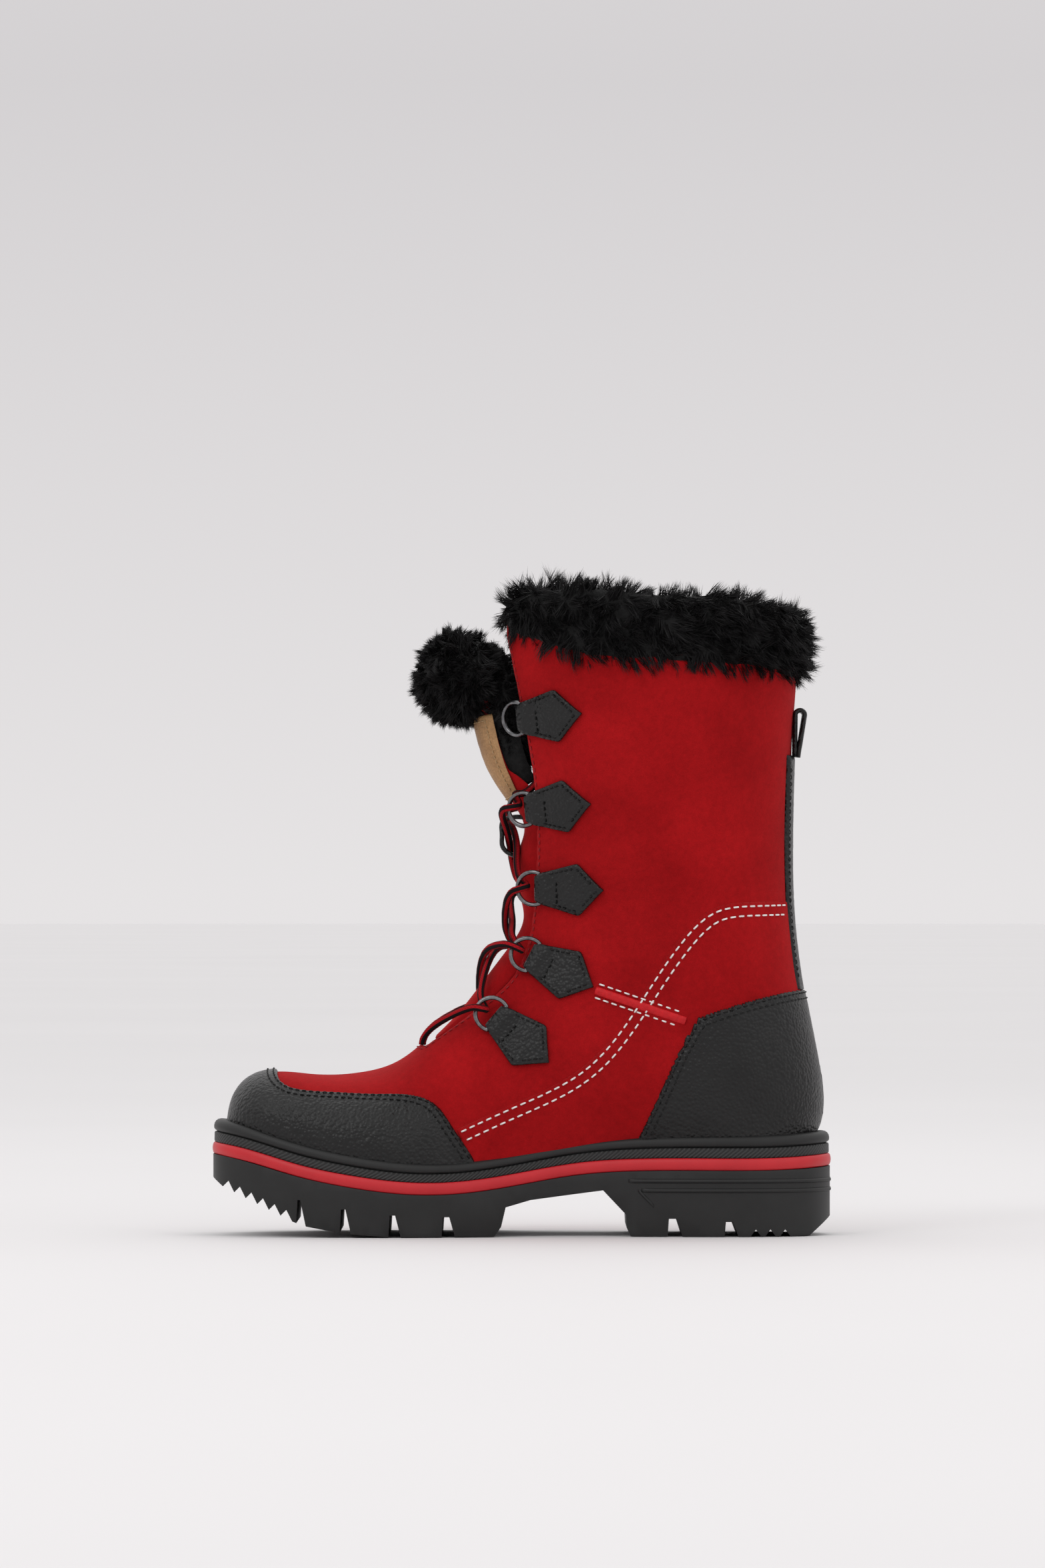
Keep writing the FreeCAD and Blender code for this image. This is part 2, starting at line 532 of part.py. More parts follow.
def make_tongue():
    thick = size("tongue_thickness")
    keep("tongue_lower", fixed_shape("tongue_lower_body", tongue_loft(TONGUE_LOWER, 0.0, thick)))
    upper_body = fixed_shape("tongue_upper_body", tongue_loft(TONGUE_UPPER, 0.0, thick))
    keep("tongue_upper", upper_body)
    patch_sheet = fixed_shape("patch_sheet", tongue_loft(TONGUE_UPPER, -3 * GAP - size("patch_thickness"), -3 * GAP))
    patch_wire = outline(((-30.0, 237.0), (0.0, 232.0)), ((0.0, 232.0), (10.0, 201.0)), ((10.0, 201.0), (-15.0, 203.0)))
    keep("tongue_patch", panel("tongue_patch", patch_sheet, patch_wire))
    pile_sheet = fixed_shape("pile_sheet", tongue_loft(TONGUE_UPPER, thick + 1.4, thick + 5.0))
    pile_wire = outline(((-40.0, 246.0), (20.0, 246.0)), ((20.0, 246.0), (20.0, 203.0)), ((20.0, 203.0), (-30.0, 203.0)))
    keep("tongue_lining", panel("tongue_lining", pile_sheet, pile_wire))

    middle = doc.addObject("Part::Cylinder", "fur_roll_middle")
    middle.Radius = FUR_RADIUS
    middle.Height = 2 * FUR_HALF_LENGTH
    middle.Placement = Placement(FUR_CENTRE - Vector(0, FUR_HALF_LENGTH, 0), FreeCAD.Rotation(Vector(1, 0, 0), -90))
    roll_parts = [middle]
    for end in (-1, 1):
        ball = doc.addObject("Part::Sphere", "fur_roll_end_" + ("inner" if end < 0 else "outer"))
        ball.Radius = FUR_RADIUS
        ball.Placement.Base = FUR_CENTRE + Vector(0, end * FUR_HALF_LENGTH, 0)
        roll_parts.append(ball)
    roll = fuse_all("fur_roll", roll_parts)
    room = doc.addObject("Part::Box", "tongue_room")
    room.Length = 60.0
    room.Width = 32.0
    room.Height = 34.0
    room.Placement.Base = Vector(-27.5, -16.0, 218.5)
    keep("tongue_fur", boolean("Cut", "tongue_fur_cut", roll, room))

    keeper_corners = [(1.0, 195.4), (-8.2, 194.9), (-10.0, 192.8), (-10.0, 180.4), (-8.2, 177.4), (-0.8, 175.4),
                      (-0.6, 177.0), (-7.4, 178.9), (-8.5, 181.0), (-8.5, 192.0), (-7.4, 193.4), (1.0, 193.9),
                      (1.0, 195.4)]
    keeper_wire = outline(*zip(keeper_corners, keeper_corners[1:]))
    loop = extrude("keeper_loop", keeper_wire, Vector(0, 1, 0), "sizes.keeper_width", symmetric=True)
    clear = fixed_shape("keeper_clear", tongue_loft(TONGUE_LOWER, -GAP, thick))
    keep("lace_keeper", boolean("Cut", "keeper_cut", loop, clear))


# ---------------------------------------------------------------- pull loop

def make_pull_loop():
    """A leather strap folded into a drop-shaped loop at the top of the back strip."""
    thick = size("loop_thickness")
    body = doc.addObject("PartDesign::Body", "pull_loop_body")
    sketch = body.newObject("Sketcher::SketchObject", "loop_outline")
    side_plane = [plane for plane in body.Origin.OriginFeatures if plane.Role == "XZ_Plane"][0]
    sketch.AttachmentSupport = [(side_plane, "")]
    sketch.MapMode = "FlatFace"
    foot = Vector(129.2, 223.0, 0)
    head = Vector(130.9, 242.3, 0)
    for radius_foot, radius_head in ((1.2, 1.3 + thick), (None, 1.3)):
        spine = head - foot
        turn = Vector(-spine.y, spine.x, 0).normalize()
        if radius_foot is None:
            start_left = foot + spine.normalize() * 4.6
            start_right = start_left
        else:
            start_left = foot + turn * radius_foot
            start_right = foot - turn * radius_foot
        end_left = head + turn * radius_head
        end_right = head - turn * radius_head
        top = head + (head - foot).normalize() * radius_head
        sketch.addGeometry(Part.LineSegment(start_left, end_left))
        sketch.addGeometry(Part.Arc(end_left, top, end_right))
        sketch.addGeometry(Part.LineSegment(end_right, start_right))
        if radius_foot is not None:
            sketch.addGeometry(Part.LineSegment(start_right, start_left))
    pad = body.newObject("PartDesign::Pad", "loop_pad")
    pad.Profile = sketch
    pad.setExpression("Length", "sizes.loop_width")
    pad.Midplane = True
    body.Tip = pad
    keep("pull_loop", body)


# ---------------------------------------------------------------- tabs and rings

# Pairs of lacing rings from the top down: place of the ring's bar seen from the side (x, z), the way
# the tab points, in degrees above +X, and how far the ring is lifted off the boot at rest.
RING_PLACES = [((1.4, 240.6), 1.4, 12.0), ((5.2, 198.5), 2.7, 24.0), ((9.6, 161.4), -3.9, 24.0),
               ((6.2, 128.6), -25.0, 24.0), ((-10.8, 100.2), -40.0, 26.0)]
RING_RADIUS = size("ring_outside") / 2 - size("ring_wire") / 2
RING_BAR_HEIGHT = size("eye_radius") + 2 * GAP
LEAF_GAP = 1.45


def skin_point(skin, x, z, side):
    """The point of the skin that is seen at (x, z) from the side, and its outward normal."""
    ray = Part.makeLine(Vector(x, 0, z), Vector(x, side * REACH, z))
    point = max((vertex.Point for vertex in skin.common(ray).Vertexes), key=lambda p: side * p.y)
    near = min(skin.Faces, key=lambda face: face.distToShape(Part.Vertex(point))[0])
    along, over = near.Surface.parameter(point)
    return point, near.normalAt(along, over)


def ring_frame(skin, place, angle, side):
    """Bar centre, and the directions towards the tab's tip, along the bar and off the boot."""
    point, normal = skin_point(skin, place[0], place[1], side)
    run, rise = math.cos(math.radians(angle)), math.sin(math.radians(angle))
    tip = Vector(run, -(normal.x * run + normal.z * rise) / normal.y, rise).normalize()
    bar = normal.cross(tip)
    return point + normal * RING_BAR_HEIGHT, tip, bar, normal


def placed(origin, x_way, y_way, z_way):
    return Placement(Matrix(x_way.x, y_way.x, z_way.x, origin.x,
                            x_way.y, y_way.y, z_way.y, origin.y,
                            x_way.z, y_way.z, z_way.z, origin.z, 0, 0, 0, 1))


def make_tab(name, layer, place, angle, side, frame):
    """A leather tab that lies on the shaft and folds round the ring's bar."""
    turn = math.radians(angle)
    origin, tip, bar, normal = frame
    seen_share = math.hypot(tip.x, tip.z)
    lean = abs(tip.y) / seen_share
    start = (LEAF_GAP - (RING_BAR_HEIGHT - size("ring_wire") / 2) * lean) * seen_share
    corners = [(start, size("tab_neck") / 2), (size("tab_corner"), size("tab_width") / 2),
               (size("tab_length"), 0.0), (size("tab_corner"), -size("tab_width") / 2),
               (start, -size("tab_neck") / 2)]
    points = [(place[0] + u * math.cos(turn) - v * math.sin(turn), place[1] + u * math.sin(turn) + v * math.cos(turn))
              for u, v in corners]
    pentagon = outline(*zip(points, points[1:]), (points[-1], points[0]))
    leaf = boolean("Common", name + "_leaf", layer, across(name + "_prism", pentagon, side))
    pieces = {}
    for kind, radius in (("fold", "sizes.eye_radius"), ("bore", "sizes.ring_wire / 2 + sizes.bar_clearance")):
        cylinder = doc.addObject("Part::Cylinder", name + "_" + kind)
        cylinder.setExpression("Radius", radius)
        cylinder.setExpression("Height", "sizes.eye_length")
        cylinder.Placement = placed(origin - bar * size("eye_length") / 2, normal, tip, bar)
        pieces[kind] = cylinder
    whole = boolean("Fuse", name + "_whole", leaf, pieces["fold"])
    keep(name, boolean("Cut", name + "_bored", whole, pieces["bore"]))


def make_ring(name, frame, lift):
    """A D-shaped wire ring on a straight bar."""
    origin, tip, bar, normal = frame
    turn = math.radians(lift)
    out = tip * math.cos(turn) - normal * math.sin(turn)
    up = normal * math.cos(turn) + tip * math.sin(turn)
    opening = math.degrees(math.acos(size("bar_offset") / RING_RADIUS))
    bow = doc.addObject("Part::Torus", name + "_bow")
    bow.setExpression("Radius1", "sizes.ring_outside / 2 - sizes.ring_wire / 2")
    bow.setExpression("Radius2", "sizes.ring_wire / 2")
    bow.Angle3 = 360 - 2 * opening
    bow.Placement = Placement(Vector(-size("bar_offset"), 0, 0), FreeCAD.Rotation(Vector(0, 0, 1), opening))
    half = RING_RADIUS * math.sin(math.radians(opening))
    straight = doc.addObject("Part::Cylinder", name + "_straight")
    straight.setExpression("Radius", "sizes.ring_wire / 2")
    straight.Height = 2 * half
    straight.Placement = Placement(Vector(0, -half, 0), FreeCAD.Rotation(Vector(1, 0, 0), -90))
    corners = []
    for end in (-1, 1):
        ball = doc.addObject("Part::Sphere", f"{name}_corner_{end + 1}")
        ball.setExpression("Radius", "sizes.ring_wire / 2")
        ball.Placement.Base = Vector(0, end * half, 0)
        corners.append(ball)
    ring = fuse_all(name + "_ring", [bow, straight] + corners)
    ring.Placement = placed(origin, out, bar, up)
    keep(name, ring)
    return origin, out, bar, up


# ---------------------------------------------------------------- lace

LACE_HOLE = (-46.5, 6.0)
HAIRPIN = 4.1
HAIRPIN_LEG = 4.5
# Where the two halves of the lace cross in front of the tongue: (x, z) on the tongue's front line.
CROSSINGS = [(-12.0, 128.0), (-0.8, 144.5), (0.5, 187.0)]
CROSSING_OUT = [(-0.84, 0.54), (-0.97, 0.24), (-1.0, 0.0)]
ARC_ALLOWANCE = [1.7, 1.5, 0.4]


def hole_point(side, height):
    return Vector(LACE_HOLE[0], side * LACE_HOLE[1], 89.0 + height)


def lace_holes():
    holes = []
    for side in (-1, 1):
        hole = doc.addObject("Part::Cylinder", "lace_hole_" + ("inner" if side < 0 else "outer"))
        hole.setExpression("Radius", "sizes.lace_hole_radius")
        hole.Height = 16.0
        hole.Placement.Base = hole_point(side, -8.0)
        holes.append(hole)
    return fuse_all("lace_hole_pair", holes)


def hairpin(ring, before, after):
    """The corners of a lace that comes over a ring's bow, goes in and leaves under it."""
    origin, out, bar, up = ring
    centre = origin - out * size("bar_offset")

    def flat(point):
        way = point - centre
        return (way - up * way.dot(up)).normalize()

    pull = (flat(before) + flat(after)).normalize()
    wire = centre + pull * RING_RADIUS
    return [wire + up * HAIRPIN + flat(before) * HAIRPIN_LEG, wire + up * HAIRPIN - pull * HAIRPIN,
            wire - up * HAIRPIN - pull * HAIRPIN, wire - up * HAIRPIN + flat(after) * HAIRPIN_LEG]


def lace_route(rings, side):
    """Half of the lace, from its hole in the vamp to its end inside the shaft."""
    crossings = []
    for level, ((x, z), (out_x, out_z)) in enumerate(zip(CROSSINGS, CROSSING_OUT)):
        over = (level % 2 == 0) == (side > 0)
        stand_off = ARC_ALLOWANCE[level] + LACE_RADIUS + 0.25 + (2 * LACE_RADIUS + 1.0 if over else 0.0)
        crossings.append(Vector(x + out_x * stand_off, 0, z + out_z * stand_off))
    start = [hole_point(side, -0.6), hole_point(side, 5.5)]
    route = list(start)
    for level, crossing in enumerate(crossings):
        ring = rings[(side if level % 2 == 0 else -side, 4 - level)]
        route += hairpin(ring, route[-1], crossing)
        route.append(crossing)
    last_side = -side
    ring = rings[(last_side, 1)]
    tail = Vector(3.0, last_side * 16.0, 205.0)
    route += hairpin(ring, route[-1], tail)
    route += [tail, Vector(10.0, last_side * 17.0, 215.0)]
    return route


def rounded_path(points):
    """Straight runs joined by tangent arcs, each as large as its two runs allow."""
    edges = []
    start = points[0]
    radii = []
    for before, corner, after in zip(points, points[1:], points[2:]):
        arrive = corner - before
        leave = after - corner
        turn = arrive.getAngle(leave)
        shorter = min(arrive.Length, leave.Length)
        cut = 0.45 * shorter
        radii.append(cut / math.tan(turn / 2))
        arrive.normalize()
        leave.normalize()
        first = corner - arrive * cut
        second = corner + leave * cut
        inward = (leave - arrive).normalize()
        radius = radii[-1]
        middle = corner + inward * (radius / math.cos(turn / 2) - radius)
        edges.append(Part.LineSegment(start, first).toShape())
        edges.append(Part.Arc(first, middle, second).toShape())
        start = second
    edges.append(Part.LineSegment(start, points[-1]).toShape())
    return Part.Wire(edges), radii


def lace_tube(name, points):
    path, radii = rounded_path(points)
    way = (points[1] - points[0]).normalize()
    section = Part.Wire(Part.makeCircle(LACE_RADIUS, points[0], way))
    tube = path.makePipeShell([section], True, True)
    expected = math.pi * LACE_RADIUS ** 2 * path.Length
    print(name, "length", round(path.Length, 1), "smallest radius", round(min(radii), 2),
          "volume share", round(tube.Volume / expected, 4))
    keep(name, fixed_shape(name + "_tube", tube))


# ---------------------------------------------------------------- the boot

make_sole()
make_insoles()
make_upper()
make_inside()
make_collar()
make_tongue()
make_pull_loop()

bare_skin = skin_solid(0.0)
tab_layer = shell("tab_layer", GAP + size("tab_thickness"), GAP)
ring_frames = {}
for pair, (bar_place, way_angle, ring_lift) in enumerate(RING_PLACES):
    for foot_side, side_word in ((-1, "medial"), (1, "lateral")):
        bar_frame = ring_frame(bare_skin, bar_place, way_angle, foot_side)
        make_tab(f"tab_{side_word}_{pair + 1}", tab_layer, bar_place, way_angle, foot_side, bar_frame)
        ring_frames[(foot_side, pair)] = make_ring(f"d_ring_{side_word}_{pair + 1}", bar_frame, ring_lift)

for foot_side, side_word in ((-1, "medial"), (1, "lateral")):
    lace_tube("lace_" + side_word, lace_route(ring_frames, foot_side))

doc.recompute()

for item in doc.Objects:
    if "Invalid" in item.State or "Error" in item.State:
        raise RuntimeError(f"{item.Name} failed: {item.State}")
for name, item in nodes.items():
    if item.Shape.isNull() or not item.Shape.isValid() or not item.Shape.Solids:
        raise RuntimeError(f"{name} has no valid solid")

for (foot_side, pair), (origin, out, bar, up) in ring_frames.items():
    print("ring", foot_side, pair + 1, "bar at", [round(value, 2) for value in origin],
          "along", [round(value, 4) for value in bar])

os.makedirs("parts", exist_ok=True)
for name, item in nodes.items():
    item.Shape.exportStep(f"parts/{name}.step")
print(len(nodes), "nodes written")
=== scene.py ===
import json
import math
import random

import bpy
import numpy as np
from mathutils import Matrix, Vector, noise
from mathutils.bvhtree import BVHTree
from mathutils.kdtree import KDTree


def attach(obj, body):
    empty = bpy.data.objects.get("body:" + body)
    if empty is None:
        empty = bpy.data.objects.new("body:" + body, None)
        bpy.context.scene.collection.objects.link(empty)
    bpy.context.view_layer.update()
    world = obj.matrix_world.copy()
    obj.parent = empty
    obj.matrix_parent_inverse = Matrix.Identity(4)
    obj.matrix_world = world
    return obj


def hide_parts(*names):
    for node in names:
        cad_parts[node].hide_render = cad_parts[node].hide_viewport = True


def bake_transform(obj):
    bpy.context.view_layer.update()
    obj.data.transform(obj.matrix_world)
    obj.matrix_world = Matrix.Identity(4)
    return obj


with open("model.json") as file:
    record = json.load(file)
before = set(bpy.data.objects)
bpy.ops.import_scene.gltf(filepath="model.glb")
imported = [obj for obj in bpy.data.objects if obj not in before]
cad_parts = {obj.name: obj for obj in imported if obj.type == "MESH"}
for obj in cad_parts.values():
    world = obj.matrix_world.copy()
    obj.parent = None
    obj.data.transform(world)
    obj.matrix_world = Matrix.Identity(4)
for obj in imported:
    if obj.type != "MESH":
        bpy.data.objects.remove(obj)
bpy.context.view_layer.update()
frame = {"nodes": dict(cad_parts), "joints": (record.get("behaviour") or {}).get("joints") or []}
nodes = frame["nodes"]
MM = 0.001
rng = np.random.default_rng(7)
random.seed(7)

# ---------------------------------------------------------------- materials


def set_stops(node, stops):
    """Colours a ramp node at its stops of (place, colour)."""
    elements = node.color_ramp.elements
    for index, (place, colour) in enumerate(stops):
        element = elements[index] if index < 2 else elements.new(place)
        element.position = place
        element.color = (*colour, 1.0)


class Surface:
    """A principled material that is built up from object-space textures."""

    def __init__(self, name, rough, metallic=0.0, specular=0.5, **sockets):
        self.material = bpy.data.materials.new(name)
        self.material.use_nodes = True
        self.tree = self.material.node_tree
        self.shader = self.tree.nodes["Principled BSDF"]
        self.shader.inputs["Roughness"].default_value = rough
        self.shader.inputs["Metallic"].default_value = metallic
        self.shader.inputs["Specular IOR Level"].default_value = specular
        for socket, value in sockets.items():
            self.shader.inputs[socket.replace("_", " ")].default_value = value
        self.where = self.tree.nodes.new("ShaderNodeTexCoord").outputs["Object"]
        self.normal = None

    def join(self, output, socket):
        self.tree.links.new(output, socket)

    def texture(self, kind, size, detail=3.0, where=None, **settings):
        """A texture whose features are size millimetres across."""
        node = self.tree.nodes.new("ShaderNodeTex" + kind)
        node.inputs["Scale"].default_value = 1000.0 / size
        if kind == "Noise":
            node.inputs["Detail"].default_value = detail
        for setting, value in settings.items():
            if setting in node.inputs:
                node.inputs[setting].default_value = value
            else:
                setattr(node, setting, value)
        self.join(where or self.where, node.inputs["Vector"])
        return node.outputs["Distance"] if kind == "Voronoi" else node.outputs[0]

    def ramp(self, factor, *stops):
        node = self.tree.nodes.new("ShaderNodeValToRGB")
        set_stops(node, stops)
        self.join(factor, node.inputs["Fac"])
        return node.outputs["Color"]

    def mix(self, kind, factor, first, second):
        node = self.tree.nodes.new("ShaderNodeMix")
        node.data_type = "RGBA"
        node.blend_type = kind
        node.inputs["Factor"].default_value = factor
        self.join(first, node.inputs[6])
        self.join(second, node.inputs[7])
        return node.outputs[2]

    def colour(self, output):
        self.join(output, self.shader.inputs["Base Color"])
        return self

    def roughness(self, factor, low, high):
        node = self.tree.nodes.new("ShaderNodeMapRange")
        node.inputs["To Min"].default_value = low
        node.inputs["To Max"].default_value = high
        self.join(factor, node.inputs["Value"])
        self.join(node.outputs["Result"], self.shader.inputs["Roughness"])
        return self

    def bump(self, height, depth, strength=1.0):
        """Adds relief of depth millimetres."""
        node = self.tree.nodes.new("ShaderNodeBump")
        node.inputs["Distance"].default_value = depth * MM
        node.inputs["Strength"].default_value = strength
        self.join(height, node.inputs["Height"])
        if self.normal is not None:
            self.join(self.normal, node.inputs["Normal"])
        self.normal = node.outputs["Normal"]
        self.join(self.normal, self.shader.inputs["Normal"])
        return self


def grey(value):
    return (value, value, value)


def make_suede():
    made = Surface("red_suede", 0.92, specular=0.08, Sheen_Weight=0.35, Sheen_Roughness=0.45,
                   Sheen_Tint=(0.95, 0.12, 0.12, 1.0))
    broad = made.texture("Noise", 42.0, 4.0)
    nap = made.texture("Noise", 3.2, 6.0, Roughness=0.7)
    fibre = made.texture("Noise", 0.9, 4.0, Roughness=0.75)
    base = made.ramp(broad, (0.30, (0.29, 0.0038, 0.0056)), (0.72, (0.42, 0.0070, 0.0095)))
    fine = made.ramp(nap, (0.32, grey(0.74)), (0.68, grey(1.0)))
    fuzz = made.ramp(fibre, (0.35, grey(0.80)), (0.62, grey(1.0)))
    made.colour(made.mix("MULTIPLY", 0.55, made.mix("MULTIPLY", 0.75, base, fine), fuzz))
    return made.bump(nap, 0.22, 0.5).bump(fibre, 0.16, 0.7).material


def make_leather(name, dark, light, rough=(0.29, 0.45), grain=1.7, depth=0.28):
    made = Surface(name, 0.4, specular=0.34)
    where = made.where
    bend = made.tree.nodes.new("ShaderNodeVectorMath")
    bend.operation = "MULTIPLY_ADD"
    bend.inputs[1].default_value = (0.0006, 0.0006, 0.0006)
    warp = made.tree.nodes.new("ShaderNodeTexNoise")
    warp.inputs["Scale"].default_value = 420.0
    made.join(where, warp.inputs["Vector"])
    made.join(warp.outputs["Color"], bend.inputs[0])
    made.join(where, bend.inputs[2])
    pebble = made.texture("Voronoi", grain, where=bend.outputs[0], feature="SMOOTH_F1", Smoothness=0.6)
    pores = made.texture("Noise", 0.5, 2.0)
    wear = made.texture("Noise", 14.0, 5.0)
    height = made.ramp(pebble, (0.12, grey(1.0)), (0.85, grey(0.0)))
    base = made.ramp(wear, (0.3, dark), (0.75, light))
    # Darker towards each pebble's edge and lighter on its top, following the bump: painted shade in the
    # grain's valleys.
    painted_valley_shade = made.ramp(pebble, (0.1, grey(1.0)), (0.9, grey(0.45)))
    made.colour(made.mix("MULTIPLY", 0.6, base, painted_valley_shade))
    made.roughness(wear, *rough)
    return made.bump(height, depth, 0.8).bump(pores, 0.05, 0.4).material


def make_rubber(name, dark, light, rough, speck=0.6):
    made = Surface(name, rough, specular=0.4)
    dust = made.texture("Noise", 18.0, 6.0)
    fine = made.texture("Noise", speck, 3.0)
    made.colour(made.ramp(dust, (0.3, dark), (0.75, light)))
    made.roughness(dust, rough - 0.06, rough + 0.1)
    return made.bump(fine, 0.05, 0.5).material


def make_knurl():
    made = Surface("knurled_rubber", 0.55, specular=0.45)
    uv = made.tree.nodes.new("ShaderNodeTexCoord").outputs["UV"]
    turned = made.tree.nodes.new("ShaderNodeVectorRotate")
    turned.rotation_type = "Z_AXIS"
    turned.inputs["Angle"].default_value = 0.95
    made.join(uv, turned.inputs["Vector"])
    ridges = made.tree.nodes.new("ShaderNodeTexWave")
    ridges.inputs["Scale"].default_value = 240.0
    made.join(turned.outputs["Vector"], ridges.inputs["Vector"])
    # Colour from the same ridges as the bump, darker in the grooves: painted shade in the knurl's grooves.
    made.colour(made.ramp(ridges.outputs["Fac"], (0.1, grey(0.004)), (0.9, grey(0.022))))
    return made.bump(ridges.outputs["Fac"], 0.3, 0.9).material


def make_metal():
    made = Surface("ring_steel", 0.28, metallic=1.0)
    fine = made.texture("Noise", 2.2, 5.0)
    smear = made.texture("Noise", 0.35, 2.0)
    made.colour(made.ramp(fine, (0.3, (0.10, 0.10, 0.105)), (0.75, (0.22, 0.22, 0.225))))
    made.roughness(fine, 0.18, 0.36)
    return made.bump(smear, 0.01, 0.4).material


def make_lace_look():
    made = Surface("striped_lace", 0.85, specular=0.12)
    uv = made.tree.nodes.new("ShaderNodeTexCoord").outputs["UV"]
    split = made.tree.nodes.new("ShaderNodeSeparateXYZ")
    made.join(uv, split.inputs[0])
    wave = made.tree.nodes.new("ShaderNodeMath")
    wave.operation = "SINE"
    turns = made.tree.nodes.new("ShaderNodeMath")
    turns.operation = "MULTIPLY"
    turns.inputs[1].default_value = 3 * 2 * math.pi
    made.join(split.outputs["X"], turns.inputs[0])
    made.join(turns.outputs[0], wave.inputs[0])
    stripe = made.ramp(wave.outputs[0], (0.10, (0.008, 0.006, 0.007)), (0.25, (0.36, 0.006, 0.011)))
    braid = made.tree.nodes.new("ShaderNodeTexChecker")
    braid.inputs["Scale"].default_value = 1.0
    cells = made.tree.nodes.new("ShaderNodeVectorMath")
    cells.operation = "MULTIPLY"
    cells.inputs[1].default_value = (14.0, 1300.0, 1.0)
    made.join(uv, cells.inputs[0])
    made.join(cells.outputs[0], braid.inputs["Vector"])
    shade = made.ramp(braid.outputs["Fac"], (0.0, grey(0.62)), (1.0, grey(1.0)))
    made.colour(made.mix("MULTIPLY", 0.8, stripe, shade))
    return made.bump(braid.outputs["Fac"], 0.25, 0.7).material


def make_thread(name, colour):
    made = Surface(name, 0.6, specular=0.3)
    twist = made.texture("Noise", 0.45, 2.0)
    made.colour(made.ramp(twist, (0.3, tuple(0.72 * c for c in colour)), (0.7, colour)))
    return made.bump(twist, 0.08, 0.6).material


def make_fur():
    made = Surface("black_fur", 0.55, specular=0.22)
    lock = made.texture("Noise", 7.0, 4.0)
    made.colour(made.ramp(lock, (0.3, (0.0028, 0.0026, 0.0028)), (0.75, (0.0115, 0.0105, 0.011))))
    made.roughness(lock, 0.42, 0.62)
    return made.bump(made.texture("Noise", 1.0, 3.0), 0.1, 0.5).material


def make_pile(name, dark, light):
    made = Surface(name, 0.95, specular=0.15, Sheen_Weight=0.1)
    curls = made.texture("Noise", 3.5, 6.0, Roughness=0.7)
    made.colour(made.ramp(curls, (0.3, dark), (0.7, light)))
    return made.bump(curls, 1.2, 0.8).material


def make_piping():
    made = Surface("red_piping", 0.38, specular=0.22)
    sheen = made.texture("Noise", 2.0, 4.0)
    made.colour(made.ramp(sheen, (0.3, (0.42, 0.005, 0.009)), (0.7, (0.56, 0.009, 0.014))))
    return made.bump(made.texture("Noise", 0.8, 3.0), 0.08, 0.5).material


SUEDE = make_suede()
LEATHER = make_leather("black_leather", grey(0.0040), grey(0.0085), grain=1.5, depth=0.5)
TAN = make_leather("tan_leather", (0.30, 0.155, 0.062), (0.52, 0.30, 0.135), (0.5, 0.7), 0.9, 0.08)
RUBBER = make_rubber("black_rubber", grey(0.0065), grey(0.0125), 0.5)
RED_RUBBER = make_rubber("red_rubber", (0.46, 0.009, 0.016), (0.55, 0.014, 0.022), 0.42)
KNURL = make_knurl()
METAL = make_metal()
LACE = make_lace_look()
WHITE_THREAD = make_thread("white_thread", (0.88, 0.85, 0.83))
BLACK_THREAD = make_thread("black_thread", grey(0.004))
TAN_THREAD = make_thread("tan_thread", (0.50, 0.34, 0.18))
FUR = make_fur()
PILE = make_pile("black_pile", grey(0.004), grey(0.016))
FELT = make_pile("grey_felt", grey(0.02), grey(0.06))
BOARD = make_pile("fibre_board", (0.22, 0.15, 0.09), (0.34, 0.25, 0.16))
PIPING = make_piping()

# ---------------------------------------------------------------- building pieces


def piece(name, points, faces, material, body="root", slot=None, stands_for=(), uv=None):
    """A mesh object, in millimetres as built, that rides on a body."""
    mesh = bpy.data.meshes.new(name)
    mesh.from_pydata([tuple(p) for p in np.asarray(points) * MM], [], [tuple(f) for f in faces])
    if uv is not None:
        layer = mesh.uv_layers.new(name="along")
        corners = np.zeros(len(mesh.loops), dtype=np.int32)
        mesh.loops.foreach_get("vertex_index", corners)
        layer.data.foreach_set("uv", np.asarray(uv)[corners].ravel())
    mesh.polygons.foreach_set("use_smooth", [True] * len(mesh.polygons))
    mesh.materials.append(material)
    item = bpy.data.objects.new(name, mesh)
    bpy.context.scene.collection.objects.link(item)
    if stands_for:
        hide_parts(*stands_for)
    if body:
        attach(item, body)
    return item


def thicken(item, thickness):
    solid = item.modifiers.new("thickness", "SOLIDIFY")
    solid.thickness = thickness * MM
    solid.offset = -1.0
    solid.use_even_offset = False
    return item


def loft(loops, caps=True):
    """Points and faces of a skin through closed loops that all have the same number of points."""
    count = len(loops[0])
    points = np.concatenate([np.asarray(loop) for loop in loops])
    faces = []
    for row in range(len(loops) - 1):
        here, above = row * count, (row + 1) * count
        for k in range(count):
            after = (k + 1) % count
            faces.append((here + k, here + after, above + after, above + k))
    if caps:
        faces.append(tuple(range(count))[::-1])
        faces.append(tuple(range((len(loops) - 1) * count, len(loops) * count)))
    return points, faces


